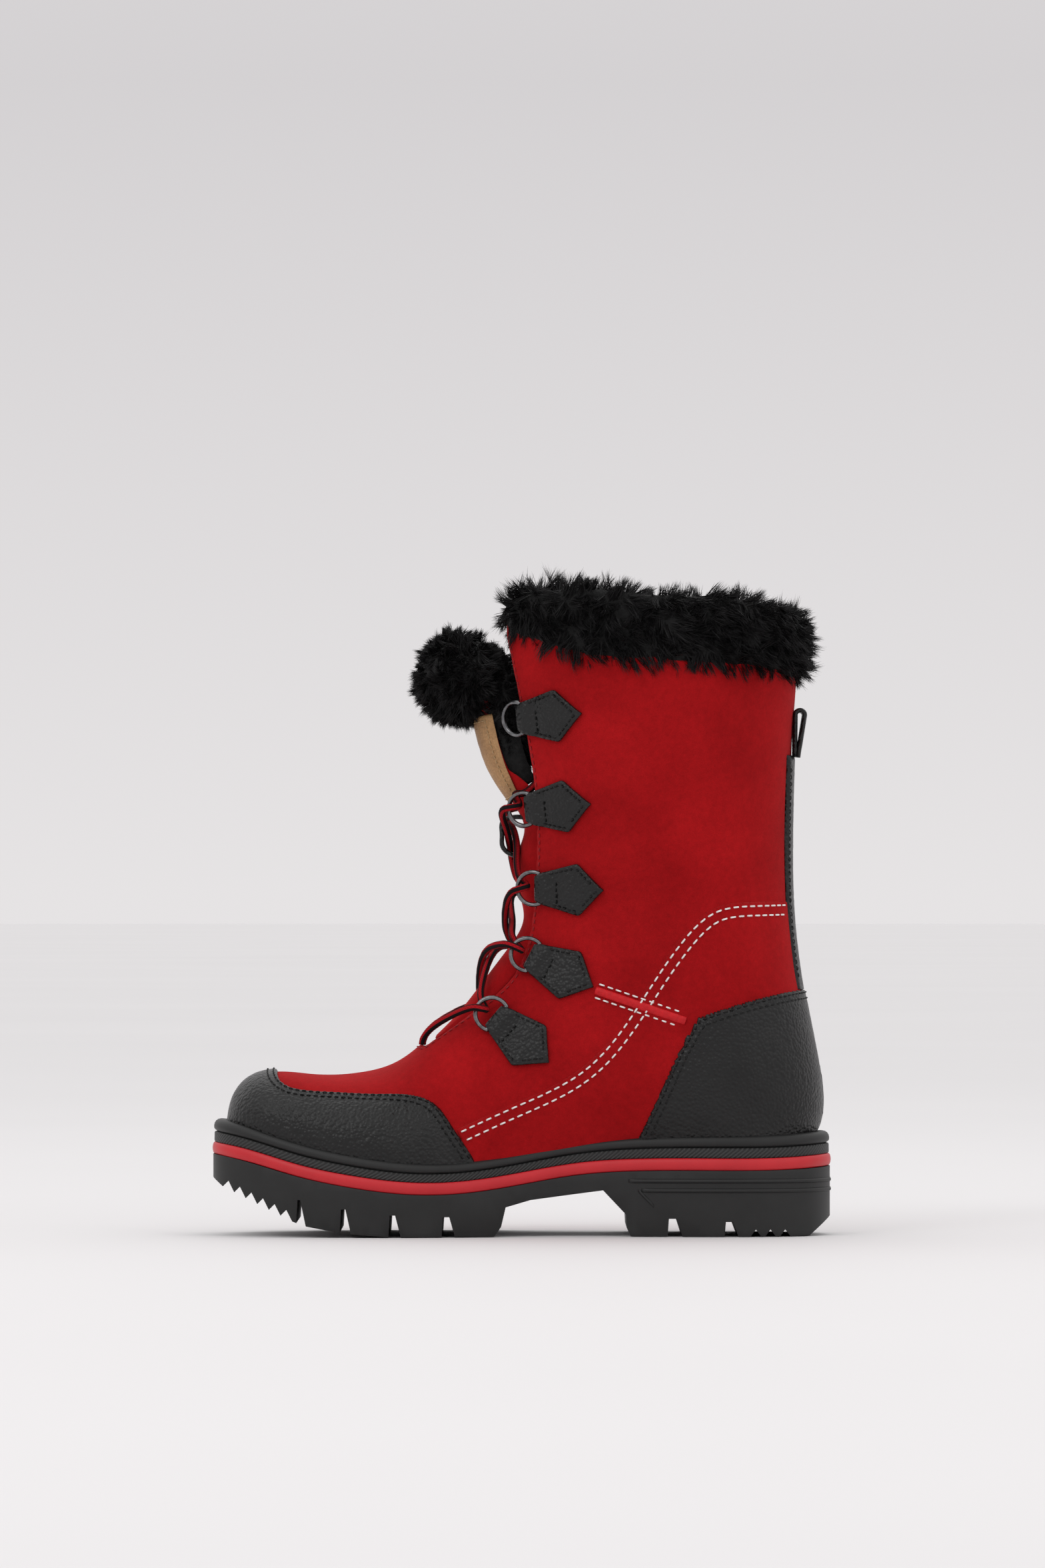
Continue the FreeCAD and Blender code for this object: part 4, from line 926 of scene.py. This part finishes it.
def make_heel_ribs():
    """Fine raised lines moulded on both sides of the heel block."""
    for side, word in ((-1, "medial"), (1, "lateral")):
        on_this = (PLAN[:, 1] * side > 0) & (PLAN[:, 0] > 46.0)
        rows = sorted(zip(PLAN[on_this], PLAN_OUT[on_this]), key=lambda row: row[0][0])
        runs = {"rib_high_": [(p, n, RIB_HIGH) for p, n in rows if p[0] > 48.0],
                "rib_low_": [(p, n, RIB_LOW) for p, n in rows if p[0] > 54.0],
                "rib_slant_": [(p, n, RIB_LOW + 54.0 - p[0]) for p, n in rows if 53.0 < p[0] < 61.5]}
        for start, run in runs.items():
            loops = []
            for k, (point, out, z) in enumerate(run):
                fade = min(1.0, (k + 0.4) / 3, (len(run) - 0.6 - k) / 3)
                loop = []
                for a in turns(10):
                    x, y = point + out * (RIB_DEPTH * fade * math.sin(a) - 0.05)
                    loop.append((x, y, z + RIB_HALF * math.cos(a)))
                loops.append(loop)
            piece(start + word, *loft(loops), RUBBER, slot="black_rubber")


# ---------------------------------------------------------------- tabs, rings and laces

RING_LIFT = 2.4
NECK, WIDE, CORNER, TIP = 15.6, 24.6, 20.0, 31.5
joints = {joint["child"]: joint for joint in frame["joints"]}


def half_width(u):
    """Half the width of a lacing tab at a distance from its ring's bar."""
    if u < 3.0:
        return 6.1 + (NECK / 2 - 6.1) * max(u + 1.0, 0.0) / 4.0
    straight = NECK / 2 + (WIDE / 2 - NECK / 2) * (u - 3.0) / (CORNER - 3.0)
    sloped = (TIP - u) / (TIP - CORNER) * WIDE / 2
    sharp = min(straight, sloped)
    blend = max(1.4 - abs(straight - sloped), 0.0)
    return max(sharp - blend ** 2 / 5.6, 0.25)


class Tab:
    def __init__(self, word, number):
        self.name = f"{word}_{number}"
        joint = joints["d_ring_" + self.name]
        self.bar_centre = Vector(joint["pos_m"]) / MM
        self.bar = Vector(joint["axis"]).normalized()
        place = skin.tree.find_nearest(self.bar_centre)[0]
        self.normal = skin.normal_at(place)
        self.normal = (self.normal - self.bar * self.normal.dot(self.bar)).normalized()
        self.tip = self.bar.cross(self.normal)
        self.foot = self.bar_centre - self.normal * RING_LIFT

    def place(self, u, v, height):
        flat = self.foot + self.tip * u + self.bar * v
        if u <= 1.5:
            return flat + self.normal * height
        place, normal = skin.drop(flat, self.normal)
        share = min((u - 1.5) / 3.5, 1.0)
        base = flat.lerp(place, share)
        return base + self.normal.lerp(normal, share).normalized() * height

    def top(self, u):
        """Height of the tab's outer face above the skin."""
        leaf = 2.3
        if u < 2.2:
            arch = RING_LIFT + math.sqrt(max(2.2 ** 2 - max(u, -2.2) ** 2, 0.0)) if u < 0 else RING_LIFT + 2.2
            return arch - (0.25 * u / 2.2 if u > 0 else 0.0)
        share = min((u - 2.2) / 6.0, 1.0)
        share = share * share * (3 - 2 * share)
        crease = 0.4 * math.exp(-((u - 9.2) / 0.9) ** 2)
        return (RING_LIFT + 1.95) * (1 - share) + leaf * share - crease

    def bottom(self, u):
        return RING_LIFT - math.sqrt(max(2.2 ** 2 - u ** 2, 0.0)) if u < 0 else 0.15

    def build(self):
        steps = [-2.2 * math.cos(a) for a in np.linspace(0.0, math.pi / 2, 9)]
        steps += list(np.arange(0.9, TIP - 0.6, 0.9)) + [TIP - 0.45, TIP - 0.2]
        loops = []
        for u in steps:
            high, low, half = self.top(u), self.bottom(u), half_width(u)
            if u > TIP - 2.4:
                high = low + (high - low) * math.sqrt(max(1 - ((u - TIP + 2.4) / 2.4) ** 2, 0.05))
            middle, rise = (high + low) / 2, max((high - low) / 2, 0.02)
            loop = []
            for c, s in squared(36, 0.30, 0.55):
                v = c * half
                h = middle + s * rise
                if s > 0 and u > 2.0:
                    h += 0.28 * noise.noise(Vector((u * 0.55, v * 0.3, self.bar_centre.z)))
                loop.append(self.place(u, v, h))
            loops.append(loop)
        piece("tab_" + self.name + "_leather", *loft(loops), LEATHER, slot="black_leather",
              stands_for=["tab_" + self.name])
        rim = [(6.0, half_width(6.0) - 1.7), (CORNER - 0.6, WIDE / 2 - 2.0), (TIP - 2.7, 0.0),
               (CORNER - 0.6, -WIDE / 2 + 2.0), (6.0, -half_width(6.0) + 1.7)]
        lines = [even_line([rim[k], rim[k + 1]], 0.8) for k in range(4)]
        lines.append(even_line([(9.2, -7.2), (9.2, 7.2)], 0.8))
        rows = []
        for line in lines:
            points = [np.array(self.place(u, v, self.top(u))) for u, v in line]
            ends = [np.array(self.place(u, v, self.top(u) + 1.0)) for u, v in line]
            rows.append((np.array(points), unit(np.array(ends) - np.array(points))))
        stitches("tab_" + self.name + "_stitches", rows, BLACK_THREAD, 1.9, 0.8, 0.36, 0.1)


LACE_RADIUS = 1.7
RING_RADIUS = 7.65
BAR_OFFSET = 2.9
LACE_HOLE = (-46.5, 6.0)
HAIRPIN = 4.1
HAIRPIN_LEG = 4.5
CROSSINGS = [(-12.0, 128.0), (-0.8, 144.5), (0.5, 187.0)]
CROSSING_OUT = [(-0.84, 0.54), (-0.97, 0.24), (-1.0, 0.0)]
ARC_ALLOWANCE = [1.7, 1.5, 0.4]


def ring_plane(word, number):
    """Bar centre, direction from the bow's far side to the bar, and the ring's own normal."""
    name = f"d_ring_{word}_{number}"
    centre = Vector(joints[name]["pos_m"]) / MM
    bar = Vector(joints[name]["axis"]).normalized()
    corners = [vertex.co / MM for vertex in nodes[name].data.vertices]
    mean = sum(corners, Vector((0, 0, 0))) / len(corners)
    out = centre - mean
    out = (out - bar * out.dot(bar)).normalized()
    return centre, out, out.cross(bar)


def hairpin(ring, before, after):
    """The corners of a lace that comes over a ring's bow, goes in and leaves under it."""
    origin, out, up = ring
    centre = origin - out * BAR_OFFSET

    def flat(point):
        way = point - centre
        return (way - up * way.dot(up)).normalized()

    pull = (flat(before) + flat(after)).normalized()
    wire = centre + pull * RING_RADIUS
    return [wire + up * HAIRPIN + flat(before) * HAIRPIN_LEG, wire + up * HAIRPIN - pull * HAIRPIN,
            wire - up * HAIRPIN - pull * HAIRPIN, wire - up * HAIRPIN + flat(after) * HAIRPIN_LEG]


def lace_route(side):
    """Half of the lace, from its hole in the vamp to its end inside the shaft."""
    words = {-1: "medial", 1: "lateral"}
    crossings = []
    for level, ((x, z), (out_x, out_z)) in enumerate(zip(CROSSINGS, CROSSING_OUT)):
        over = (level % 2 == 0) == (side > 0)
        stand_off = ARC_ALLOWANCE[level] + LACE_RADIUS + 0.25 + (2 * LACE_RADIUS + 1.0 if over else 0.0)
        crossings.append(Vector((x + out_x * stand_off, 0, z + out_z * stand_off)))
    route = [Vector((LACE_HOLE[0], side * LACE_HOLE[1], height)) for height in (88.4, 94.5)]
    for level, crossing in enumerate(crossings):
        word = words[side if level % 2 == 0 else -side]
        route += hairpin(ring_plane(word, 5 - level), route[-1], crossing)
        route.append(crossing)
    tail = Vector((3.0, -side * 16.0, 205.0))
    route += hairpin(ring_plane(words[-side], 2), route[-1], tail)
    return route + [tail, Vector((10.0, -side * 17.0, 215.0))]


def spline_points(name, route):
    """Points along the smooth curve that has the route's points as control points."""
    curve = bpy.data.curves.new(name + "_line", "CURVE")
    curve.dimensions = "3D"
    line = curve.splines.new("NURBS")
    line.points.add(len(route) - 1)
    for control, point in zip(line.points, route):
        control.co = (*(point * MM), 1.0)
    line.order_u = 3
    line.use_endpoint_u = True
    line.resolution_u = 10
    holder = bpy.data.objects.new(name + "_line", curve)
    mesh = bpy.data.meshes.new_from_object(holder)
    points = np.array([tuple(vertex.co / MM) for vertex in mesh.vertices])
    bpy.data.objects.remove(holder)
    bpy.data.curves.remove(curve)
    bpy.data.meshes.remove(mesh)
    return points


def tube(points, radius, sides=16):
    """A round tube along points, with a UV map: round it, and metres along it."""
    points = points[np.concatenate([[True], np.linalg.norm(np.diff(points, axis=0), axis=1) > 0.05])]
    ahead = unit(np.gradient(points, axis=0))
    side_way = unit(np.cross(ahead[0], [0.0, 1.0, 0.3]))
    along = distances(points)
    loops, uv = [], []
    for point, way, distance in zip(points, ahead, along):
        side_way = unit(side_way - way * (side_way @ way))
        up = np.cross(way, side_way)
        rib = 1.0 + 0.03 * math.sin(distance * 3.2)
        loops.append([point + (side_way * math.cos(a) + up * math.sin(a)) * radius * rib
                      for a in turns(sides)])
        uv += [(k / sides, distance * MM) for k in range(sides)]
    return (*loft(loops), uv)


def make_lacing():
    for word in ("medial", "lateral"):
        for number in range(1, 6):
            Tab(word, number).build()
    for side, word in ((-1, "medial"), (1, "lateral")):
        name = "lace_" + word
        line = spline_points(name, lace_route(side))
        points, faces, uv = tube(line, LACE_RADIUS * 0.97)
        piece(name + "_cord", points, faces, LACE, slot="lace_cord", stands_for=[name], uv=uv)


# ---------------------------------------------------------------- straps that are swept


def strap(name, line, width, thick, material, body, slot, stands_for):
    """A flat strap along a side-view line, with rounded edges."""
    line = np.asarray(line, float)
    ahead = unit(np.gradient(line, axis=0))
    loops = []
    for (x, z), (way_x, way_z) in zip(line, ahead):
        loops.append([(x - way_z * s * thick / 2, c * width / 2, z + way_x * s * thick / 2)
                      for c, s in squared(20, 0.35, 0.6)])
    return piece(name, *loft(loops), material, body=body, slot=slot, stands_for=stands_for)


def make_loop_and_keeper():
    """The pull loop at the back, and the loop that holds the lace under the patch."""
    foot, head = np.array([128.3, 222.6]), np.array([130.0, 242.3])
    spine = unit(head - foot)
    turn = np.array([-spine[1], spine[0]])
    radius = 2.2
    line = [foot + turn * 0.75, foot + turn * 0.9 + spine * 3]
    line += list(even_line([foot + turn * 1.1 + spine * 5, head + turn * radius], 1.4))
    line += [head + turn * radius * math.cos(a) + spine * radius * math.sin(a)
             for a in np.linspace(0, math.pi, 13)]
    line += list(even_line([head - turn * radius, foot - turn * 1.1 + spine * 5], 1.4))
    line += [foot - turn * 0.9 + spine * 3, foot - turn * 0.75]
    strap("pull_loop_leather", line, 17.0, 2.3, LEATHER, "pull_loop", "black_leather", ["pull_loop"])
    keeper = smooth_line([(0.6, 194.6), (-5.5, 194.3), (-9.0, 192.3), (-9.3, 186.5), (-9.0, 180.8),
                          (-6.5, 178.0), (-0.8, 176.2)], 0.7)
    strap("keeper_leather", keeper, 7.0, 2.2, LEATHER, "root", "black_leather", ["lace_keeper"])


# ---------------------------------------------------------------- tongue

TONGUE = [((-41.0, 92.0), 6.2, 0.9), ((-31.0, 102.0), 7.8, 1.5), ((-17.5, 119.0), 11.9, 4.0),
          ((-6.5, 133.5), 11.8, 5.0), ((0.6, 147.0), 11.4, 4.8), ((-3.4, 167.0), 12.9, 7.2),
          ((-1.0, 181.0), 14.2, 8.7), ((1.0, 190.0), 13.0, 6.8), ((-1.0, 195.7), 11.2, 5.2),
          ((-7.0, 205.0), 12.0, 6.2), ((-14.5, 217.0), 14.0, 8.6), ((-21.0, 237.0), 14.5, 10.0),
          ((-23.5, 248.0), 14.0, 10.0)]


class TongueSheet:
    def __init__(self, spacing=1.2):
        rows = np.array([(x, z, half, depth) for (x, z), half, depth in TONGUE])
        places = np.concatenate([[0.0], np.cumsum(np.hypot(*np.diff(rows[:, :2], axis=0).T))])
        where = np.linspace(0.0, places[-1], int(places[-1] / spacing) + 1)
        self.rows = spline(rows, places, where)
        ahead = unit(np.gradient(self.rows[:, :2], axis=0))
        self.back = np.stack([ahead[:, 1], -ahead[:, 0]], axis=1)

    def place(self, row, share, behind):
        """A point at share -1 to 1 across the tongue, behind millimetres behind its front face."""
        x, z, half, depth = self.rows[row]
        radius = (half ** 2 + depth ** 2) / (2 * depth)
        y = half * share
        inward = radius - math.sqrt(max(radius ** 2 - min(abs(y), half) ** 2, 0.0))
        inward += max(abs(y) - half, 0.0) * 1.3
        back = self.back[row]
        return np.array([x + back[0] * (inward + behind), y, z + back[1] * (inward + behind)])

    def sheet(self, first, last, width, front, thick):
        """Loops of a closed strip between two heights."""
        rows = [k for k in range(len(self.rows)) if first <= self.rows[k][1] <= last]
        loops = []
        for number, row in enumerate(rows):
            ends = min(number, len(rows) - 1 - number)
            close = math.sqrt(1 - (1 - min((ends + 0.35) / 2.0, 1.0)) ** 2)
            loop = []
            for c, s in squared(64, 0.5, 0.7):
                narrow = 1.0 - 0.3 * min(max((self.rows[row][1] - 203.0) / 10.0, 0.0), 1.0) * (width > 1.1)
                share = c * width * narrow
                depth = front + thick / 2 + s * thick / 2 * close
                loop.append(self.place(row, share, depth))
            loops.append(loop)
        return loft(loops)


def make_tongue():
    sheet = TongueSheet()
    points, faces = sheet.sheet(80.0, 260.0, 1.22, 0.15, 2.9)
    tongue = piece("tongue_suede", points, faces, SUEDE, body=None, slot="red_suede",
                   stands_for=["tongue_lower", "tongue_upper"])
    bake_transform(tongue)
    points, faces = sheet.sheet(201.5, 241.0, 0.97, -1.5, 1.2)
    points = points + unit(np.array([[-1.0, 0.0, 0.2]])) * 0.12 * ripple(points, 3.0)[:, None]
    piece("tongue_tan_patch", points, faces, TAN, "tongue_top", "tan_leather", ["tongue_patch"])
    rows = [k for k in range(len(sheet.rows)) if 203.2 < sheet.rows[k][1] < 239.5]
    border = [(row, 0.84) for row in rows] + [(rows[-1], s) for s in np.linspace(0.8, -0.8, 20)]
    border += [(row, -0.84) for row in rows[::-1]] + [(rows[0], s) for s in np.linspace(-0.8, 0.8, 20)]
    line = np.array([sheet.place(row, share, -1.5) for row, share in border])
    up = np.array([-np.array([sheet.back[row][0], 0.0, sheet.back[row][1]]) for row, share in border])
    stitches("patch_stitches", [(line, up)], TAN_THREAD, 1.7, 0.7, 0.28, 0.0, body="tongue_top")
    points, faces = sheet.sheet(203.5, 250.0, 1.0, 3.4, 8.5)
    points = points + 0.5 * ripple(points, 3.0)[:, None] * np.array([[1.0, 0.4, 0.0]])
    piece("tongue_pile", points, faces, PILE, "tongue_top", "pile_lining", ["tongue_lining"])


# ---------------------------------------------------------------- fur


def make_hairs(name, roots, normals, lengths, comb, body):
    """Tapered hairs that gather round guide hairs in locks, one mesh."""
    width, curl, clump, lock = 0.3, 0.45, 7.0, 18
    count = len(roots)
    lean = np.stack([ripple(roots, clump, seed) for seed in (11.0, 23.0, 37.0)], axis=1)
    way = unit(normals * 0.6 + comb + lean * 1.3 + rng.normal(0.0, 0.16, (count, 3)))
    bend = np.stack([ripple(roots, clump * 0.6, seed) for seed in (51.0, 63.0, 77.0)], axis=1) * curl
    guides = rng.choice(count, max(count // lock, 1), replace=False)
    tree = tree_of(roots[guides])
    guide = guides[[tree.find(root)[1] for root in roots]]
    way = unit(way[guide] + rng.normal(0.0, 0.10, (count, 3)))
    bend = bend[guide] + rng.normal(0.0, 0.07, (count, 3))
    lengths = lengths[guide] * rng.uniform(0.8, 1.08, count)
    side = unit(np.cross(way, rng.normal(0.0, 1.0, (count, 3))))
    rows = []
    for share, half in ((0.0, 1.0), (0.38, 0.9), (0.72, 0.6), (1.0, 0.0)):
        gather = 0.7 * share ** 1.3
        core = roots * (1 - gather) + roots[guide] * gather
        core = core + (way * share + bend * share ** 2) * lengths[:, None]
        if half:
            rows += [core - side * width * half / 2, core + side * width * half / 2]
        else:
            rows.append(core)
    points = np.stack(rows, axis=1).reshape(-1, 3)
    start = np.arange(count)[:, None] * 7
    quads = np.concatenate([start + np.array([[0, 1, 3, 2]]), start + np.array([[2, 3, 5, 4]])])
    tips = start + np.array([[4, 5, 6]])
    faces = [tuple(f) for f in quads] + [tuple(f) for f in tips]
    return piece(name, points, faces, FUR, body=body, slot="black_fur")


def scatter(points, faces, count):
    """Roots and normals spread evenly over quads."""
    points = np.asarray(points)
    quads = np.array([f for f in faces if len(f) == 4])
    a, b, c, d = (points[quads[:, k]] for k in range(4))
    area_way = np.cross(c - a, d - b)
    area = np.linalg.norm(area_way, axis=1)
    chosen = rng.choice(len(quads), count, p=area / area.sum())
    u, v = rng.random(count)[:, None], rng.random(count)[:, None]
    spots = (a[chosen] * (1 - u) + b[chosen] * u) * (1 - v) + (d[chosen] * (1 - u) + c[chosen] * u) * v
    return spots, unit(area_way[chosen])


COLLAR_LOW = [(-14.0, 284.0), (8.0, 275.0), (26.5, 269.6), (81.4, 265.3), (145.0, 259.0)]
COLLAR_TOP = [(-14.0, 300.0), (22.0, 306.4), (60.0, 303.5), (92.0, 302.4), (117.0, 299.0), (145.0, 289.0)]

COLLAR_LEVEL = 285.0
SHAFT_MIDDLE = 58.0
BACK_ANGLE = 1.05


def rim_columns():
    """Columns of the skin near the top, in order from the inner flap round the back to the outer flap."""
    order = [k for k in range(HALF - 1, -1, -1)] + [k for k in range(2 * HALF, HALF, -1)]
    rows = skin.grid[-90:]
    out = skin.normal[-90:]
    kept = []
    for k in order:
        x, y = (np.interp(COLLAR_LEVEL, rows[:, k, 2], rows[:, k, a]) for a in (0, 1))
        if abs(y) > 21.0 or x > 30.0:
            kept.append(k)
    return kept, rows, out


def make_collar():
    """The fur collar: a roll round the rim, with hairs in three pieces."""
    kept, rows, out = rim_columns()
    loops = []
    for number, k in enumerate(kept):
        z_rows = rows[:, k, 2]

        def at(z):
            point = np.array([np.interp(z, z_rows, rows[:, k, a]) for a in range(3)])
            point[2] = z
            normal = unit(np.array([np.interp(z, z_rows, out[:, k, a]) for a in range(3)]))
            return point, normal

        x = at(COLLAR_LEVEL)[0][0]
        low = height_of(COLLAR_LOW, [x])[0] - 0.5
        high = height_of(COLLAR_TOP, [x])[0] - 6.5
        ends = min(number, len(kept) - 1 - number) + 0.4
        close = math.sqrt(1 - (1 - min(ends / 6.0, 1.0)) ** 2)
        middle, half = (low + high) / 2, (high - low) / 2
        loop = []
        for c, s in squared(30, 0.7, 0.7):
            point, normal = at(middle + s * half * (0.6 + 0.4 * close))
            loop.append(point + normal * (5.2 * c * close - 3.2))
        loops.append(loop)
    points, faces = loft(loops)
    points = points + 0.8 * unit(points - points.mean(axis=0)) * ripple(points, 9.0)[:, None]
    piece("collar_roll", points, faces, PILE, slot="black_fur", stands_for=["fur_collar"])
    density = 54000
    roots, normals = scatter(points, faces, density)
    if (normals * (roots - points.mean(axis=0)))[:, :2].sum() < 0:
        normals = -normals
    centre = np.array([SHAFT_MIDDLE, 0.0, COLLAR_LEVEL])
    outward = (normals * (roots - centre) * [1, 1, 0]).sum(axis=1) > 0
    top = np.clip((roots[:, 2] - 290.0) / 10.0, 0.0, 1.0)
    lengths = np.where(outward, 8.0, 7.0) + 2.5 * ripple(roots, 11.0, 9.0) + rng.normal(0, 0.7, len(roots))
    lengths += top * np.clip((45.0 - roots[:, 0]) / 40.0, 0.0, 1.0) * 4.0
    lengths = np.clip(lengths, 4.5, 12.0)
    comb = np.zeros_like(roots)
    comb[:, 2] = np.where(outward, -0.5, -0.1) * (1 - top) + top * 0.15
    comb[:, 0] += 0.35
    angle = np.arctan2(roots[:, 1], roots[:, 0] - SHAFT_MIDDLE)
    groups = {"fur_back": np.abs(angle) < BACK_ANGLE, "fur_medial": angle <= -BACK_ANGLE,
              "fur_lateral": angle >= BACK_ANGLE}
    for name, chosen in groups.items():
        make_hairs(name, roots[chosen], normals[chosen], lengths[chosen], comb[chosen], "root")


def fur_mass(name, centre, radii, slope, count, length, nodes_for=()):
    """A rounded mass of pile with locks of hair all over; its middle moves by slope in x as z falls."""
    centre, radii = np.array(centre), np.array(radii)
    loops = []
    for a in np.linspace(0.06, math.pi - 0.06, 30):
        loop = []
        for b in turns(44):
            way = np.array([math.sin(a) * math.cos(b), math.cos(a), math.sin(a) * math.sin(b)])
            spot = way * radii * (1.0 + 0.08 * noise.noise(Vector(way) * 2.2))
            spot[0] -= slope * spot[2]
            loop.append(centre + spot)
        loops.append(loop)
    points, faces = loft(loops)
    piece(name + "_roll", points, faces, PILE, body="tongue_top", slot="black_fur", stands_for=nodes_for)
    roots, _ = scatter(points, faces, count)
    normals = unit((roots - centre) / radii ** 2)
    lengths = length + 1.6 * ripple(roots, 10.0, 4.0) + rng.normal(0, 0.5, count)
    comb = np.zeros_like(roots)
    comb[:, 2] = -0.2
    make_hairs(name + "_hairs", roots, normals, np.clip(lengths, 3.0, 9.0), comb, "tongue_top")


def make_tongue_fur():
    """The fur on the tongue's top edge, and the pile behind it that fills the gap to the flaps."""
    share = 1.0
    fur_mass("tongue_fur", (-29.0, 0.0, 260.0), (17.5, 25.0, 19.0), 0.0, int(30000 * share), 6.3,
             ["tongue_fur"])
    fur_mass("tongue_back_fur", (-8.0, 0.0, 247.0), (12.5, 14.8, 28.0), 0.3, int(20000 * share), 4.8)


PILE_THICKNESS = 3.0


def make_lining():
    """The pile inside the boot: a displaced sheet, made thick."""
    inner = Patch()
    inner.cut(above_sole(inner.points, 1.0))
    inner.cut(283.0 - inner.points[:, 2])
    shifted = closed([(-33.0, 80.0), (-18.0, 92.0), (-4.0, 108.0), (9.0, 128.0), (15.0, 150.0), (16.5, 184.0),
                      (14.0, 225.0), (5.0, 262.0), (2.0, 281.0)], [(2.0, 281.0), (2.0, 330.0)],
                     [(2.0, 330.0), (-90.0, 330.0)], [(-90.0, 330.0), (-60.0, 88.0)])
    inner.cut(-inside_outline(inner.points, shifted), rolled=True)
    lift = -5.6 + 0.6 * ripple(inner.points, 4.0) + 0.4 * ripple(inner.points, 1.9, 4.0)
    points = inner.points + inner.normals * lift[:, None]
    item = piece("pile_inside", points, [face[::-1] for face in inner.faces], PILE, slot="pile_lining",
                 stands_for=["lining_vamp", "lining_heel", "lining_shaft"])
    thicken(item, PILE_THICKNESS)


def finish_nodes():
    """Materials on the CAD nodes that stay as they are."""
    looks = {"outsole": RUBBER, "footbed": FELT, "insole_board": BOARD, "midsole_filler": FELT,
             "shank": METAL, "toe_puff": BOARD, "heel_counter": BOARD}
    for name, item in nodes.items():
        look = METAL if name.startswith("d_ring") else looks.get(name)
        if look is not None:
            item.data.materials.clear()
            item.data.materials.append(look)


# ---------------------------------------------------------------- floor, light and camera


def area_light(name, place, target, size, power):
    data = bpy.data.lights.new(name, "AREA")
    data.shape = "DISK"
    data.size = size
    data.energy = power
    item = bpy.data.objects.new(name, data)
    item.location = place
    item.rotation_mode = "QUATERNION"
    item.rotation_quaternion = (Vector(target) - Vector(place)).to_track_quat("-Z", "Y")
    bpy.context.scene.collection.objects.link(item)


FLOOR_DROP = 0.0003


def make_floor():
    rings = [0.0001, 0.5, 1.5, 4.0, 12.0, 40.0]
    loops = [[(r * math.cos(a), r * math.sin(a), -FLOOR_DROP) for a in turns(64)] for r in rings]
    points, faces = loft(loops)
    ground = bpy.data.meshes.new("floor")
    ground.from_pydata([tuple(p) for p in points], [], faces[:-1])
    floor = bpy.data.objects.new("floor", ground)
    bpy.context.scene.collection.objects.link(floor)
    look = Surface("pale_floor", 0.75, specular=0.15)
    shades = look.texture("Noise", 900.0, 2.0)
    look.colour(look.ramp(shades, (0.2, (0.725, 0.71, 0.715)), (0.8, (0.745, 0.73, 0.735))))
    ground.materials.append(look.material)


def make_world():
    world = bpy.data.worlds.new("studio")
    world.use_nodes = True
    tree = world.node_tree
    direction = tree.nodes.new("ShaderNodeTexCoord").outputs["Generated"]
    split = tree.nodes.new("ShaderNodeSeparateXYZ")
    shade = tree.nodes.new("ShaderNodeValToRGB")
    tree.links.new(direction, split.inputs[0])
    tree.links.new(split.outputs["Z"], shade.inputs["Fac"])
    tree.links.new(shade.outputs["Color"], tree.nodes["Background"].inputs["Color"])
    set_stops(shade, [(0.0, (0.79, 0.77, 0.775)), (0.09, (0.66, 0.64, 0.65)), (0.45, (1.0, 0.99, 0.99)),
                      (1.0, (1.1, 1.1, 1.1))])
    bpy.context.scene.world = world


def make_lights():
    area_light("key", (-1.5, -2.2, 2.2), (0, 0, 0.12), 1.3, 13.0)
    area_light("fill", (2.2, -1.8, 1.2), (0, 0, 0.15), 2.0, 3.5)
    area_light("top", (0.2, 0.6, 2.4), (0, 0, 0.15), 1.8, 6.0)


EYE = (0.0003, -4.2, 0.16)
LOOKED_AT = (0.0003, 0.0, 0.2101)


def make_camera():
    lens = bpy.data.cameras.new("camera")
    lens.sensor_width = 36.0
    lens.lens = 206.2
    lens.clip_end = 100.0
    eye = bpy.data.objects.new("camera", lens)
    eye.location = EYE
    eye.rotation_mode = "QUATERNION"
    eye.rotation_quaternion = (Vector(LOOKED_AT) - eye.location).to_track_quat("-Z", "Y")
    bpy.context.scene.collection.objects.link(eye)
    bpy.context.scene.camera = eye
    bpy.context.scene.view_settings.view_transform = "Standard"


make_floor()
make_world()
make_lights()
make_camera()
make_lacing()
make_panels()
make_overlays()
make_stitching()
make_ankle_piping()
make_sole()
make_loop_and_keeper()
make_tongue()
make_lining()
make_collar()
make_tongue_fur()
finish_nodes()
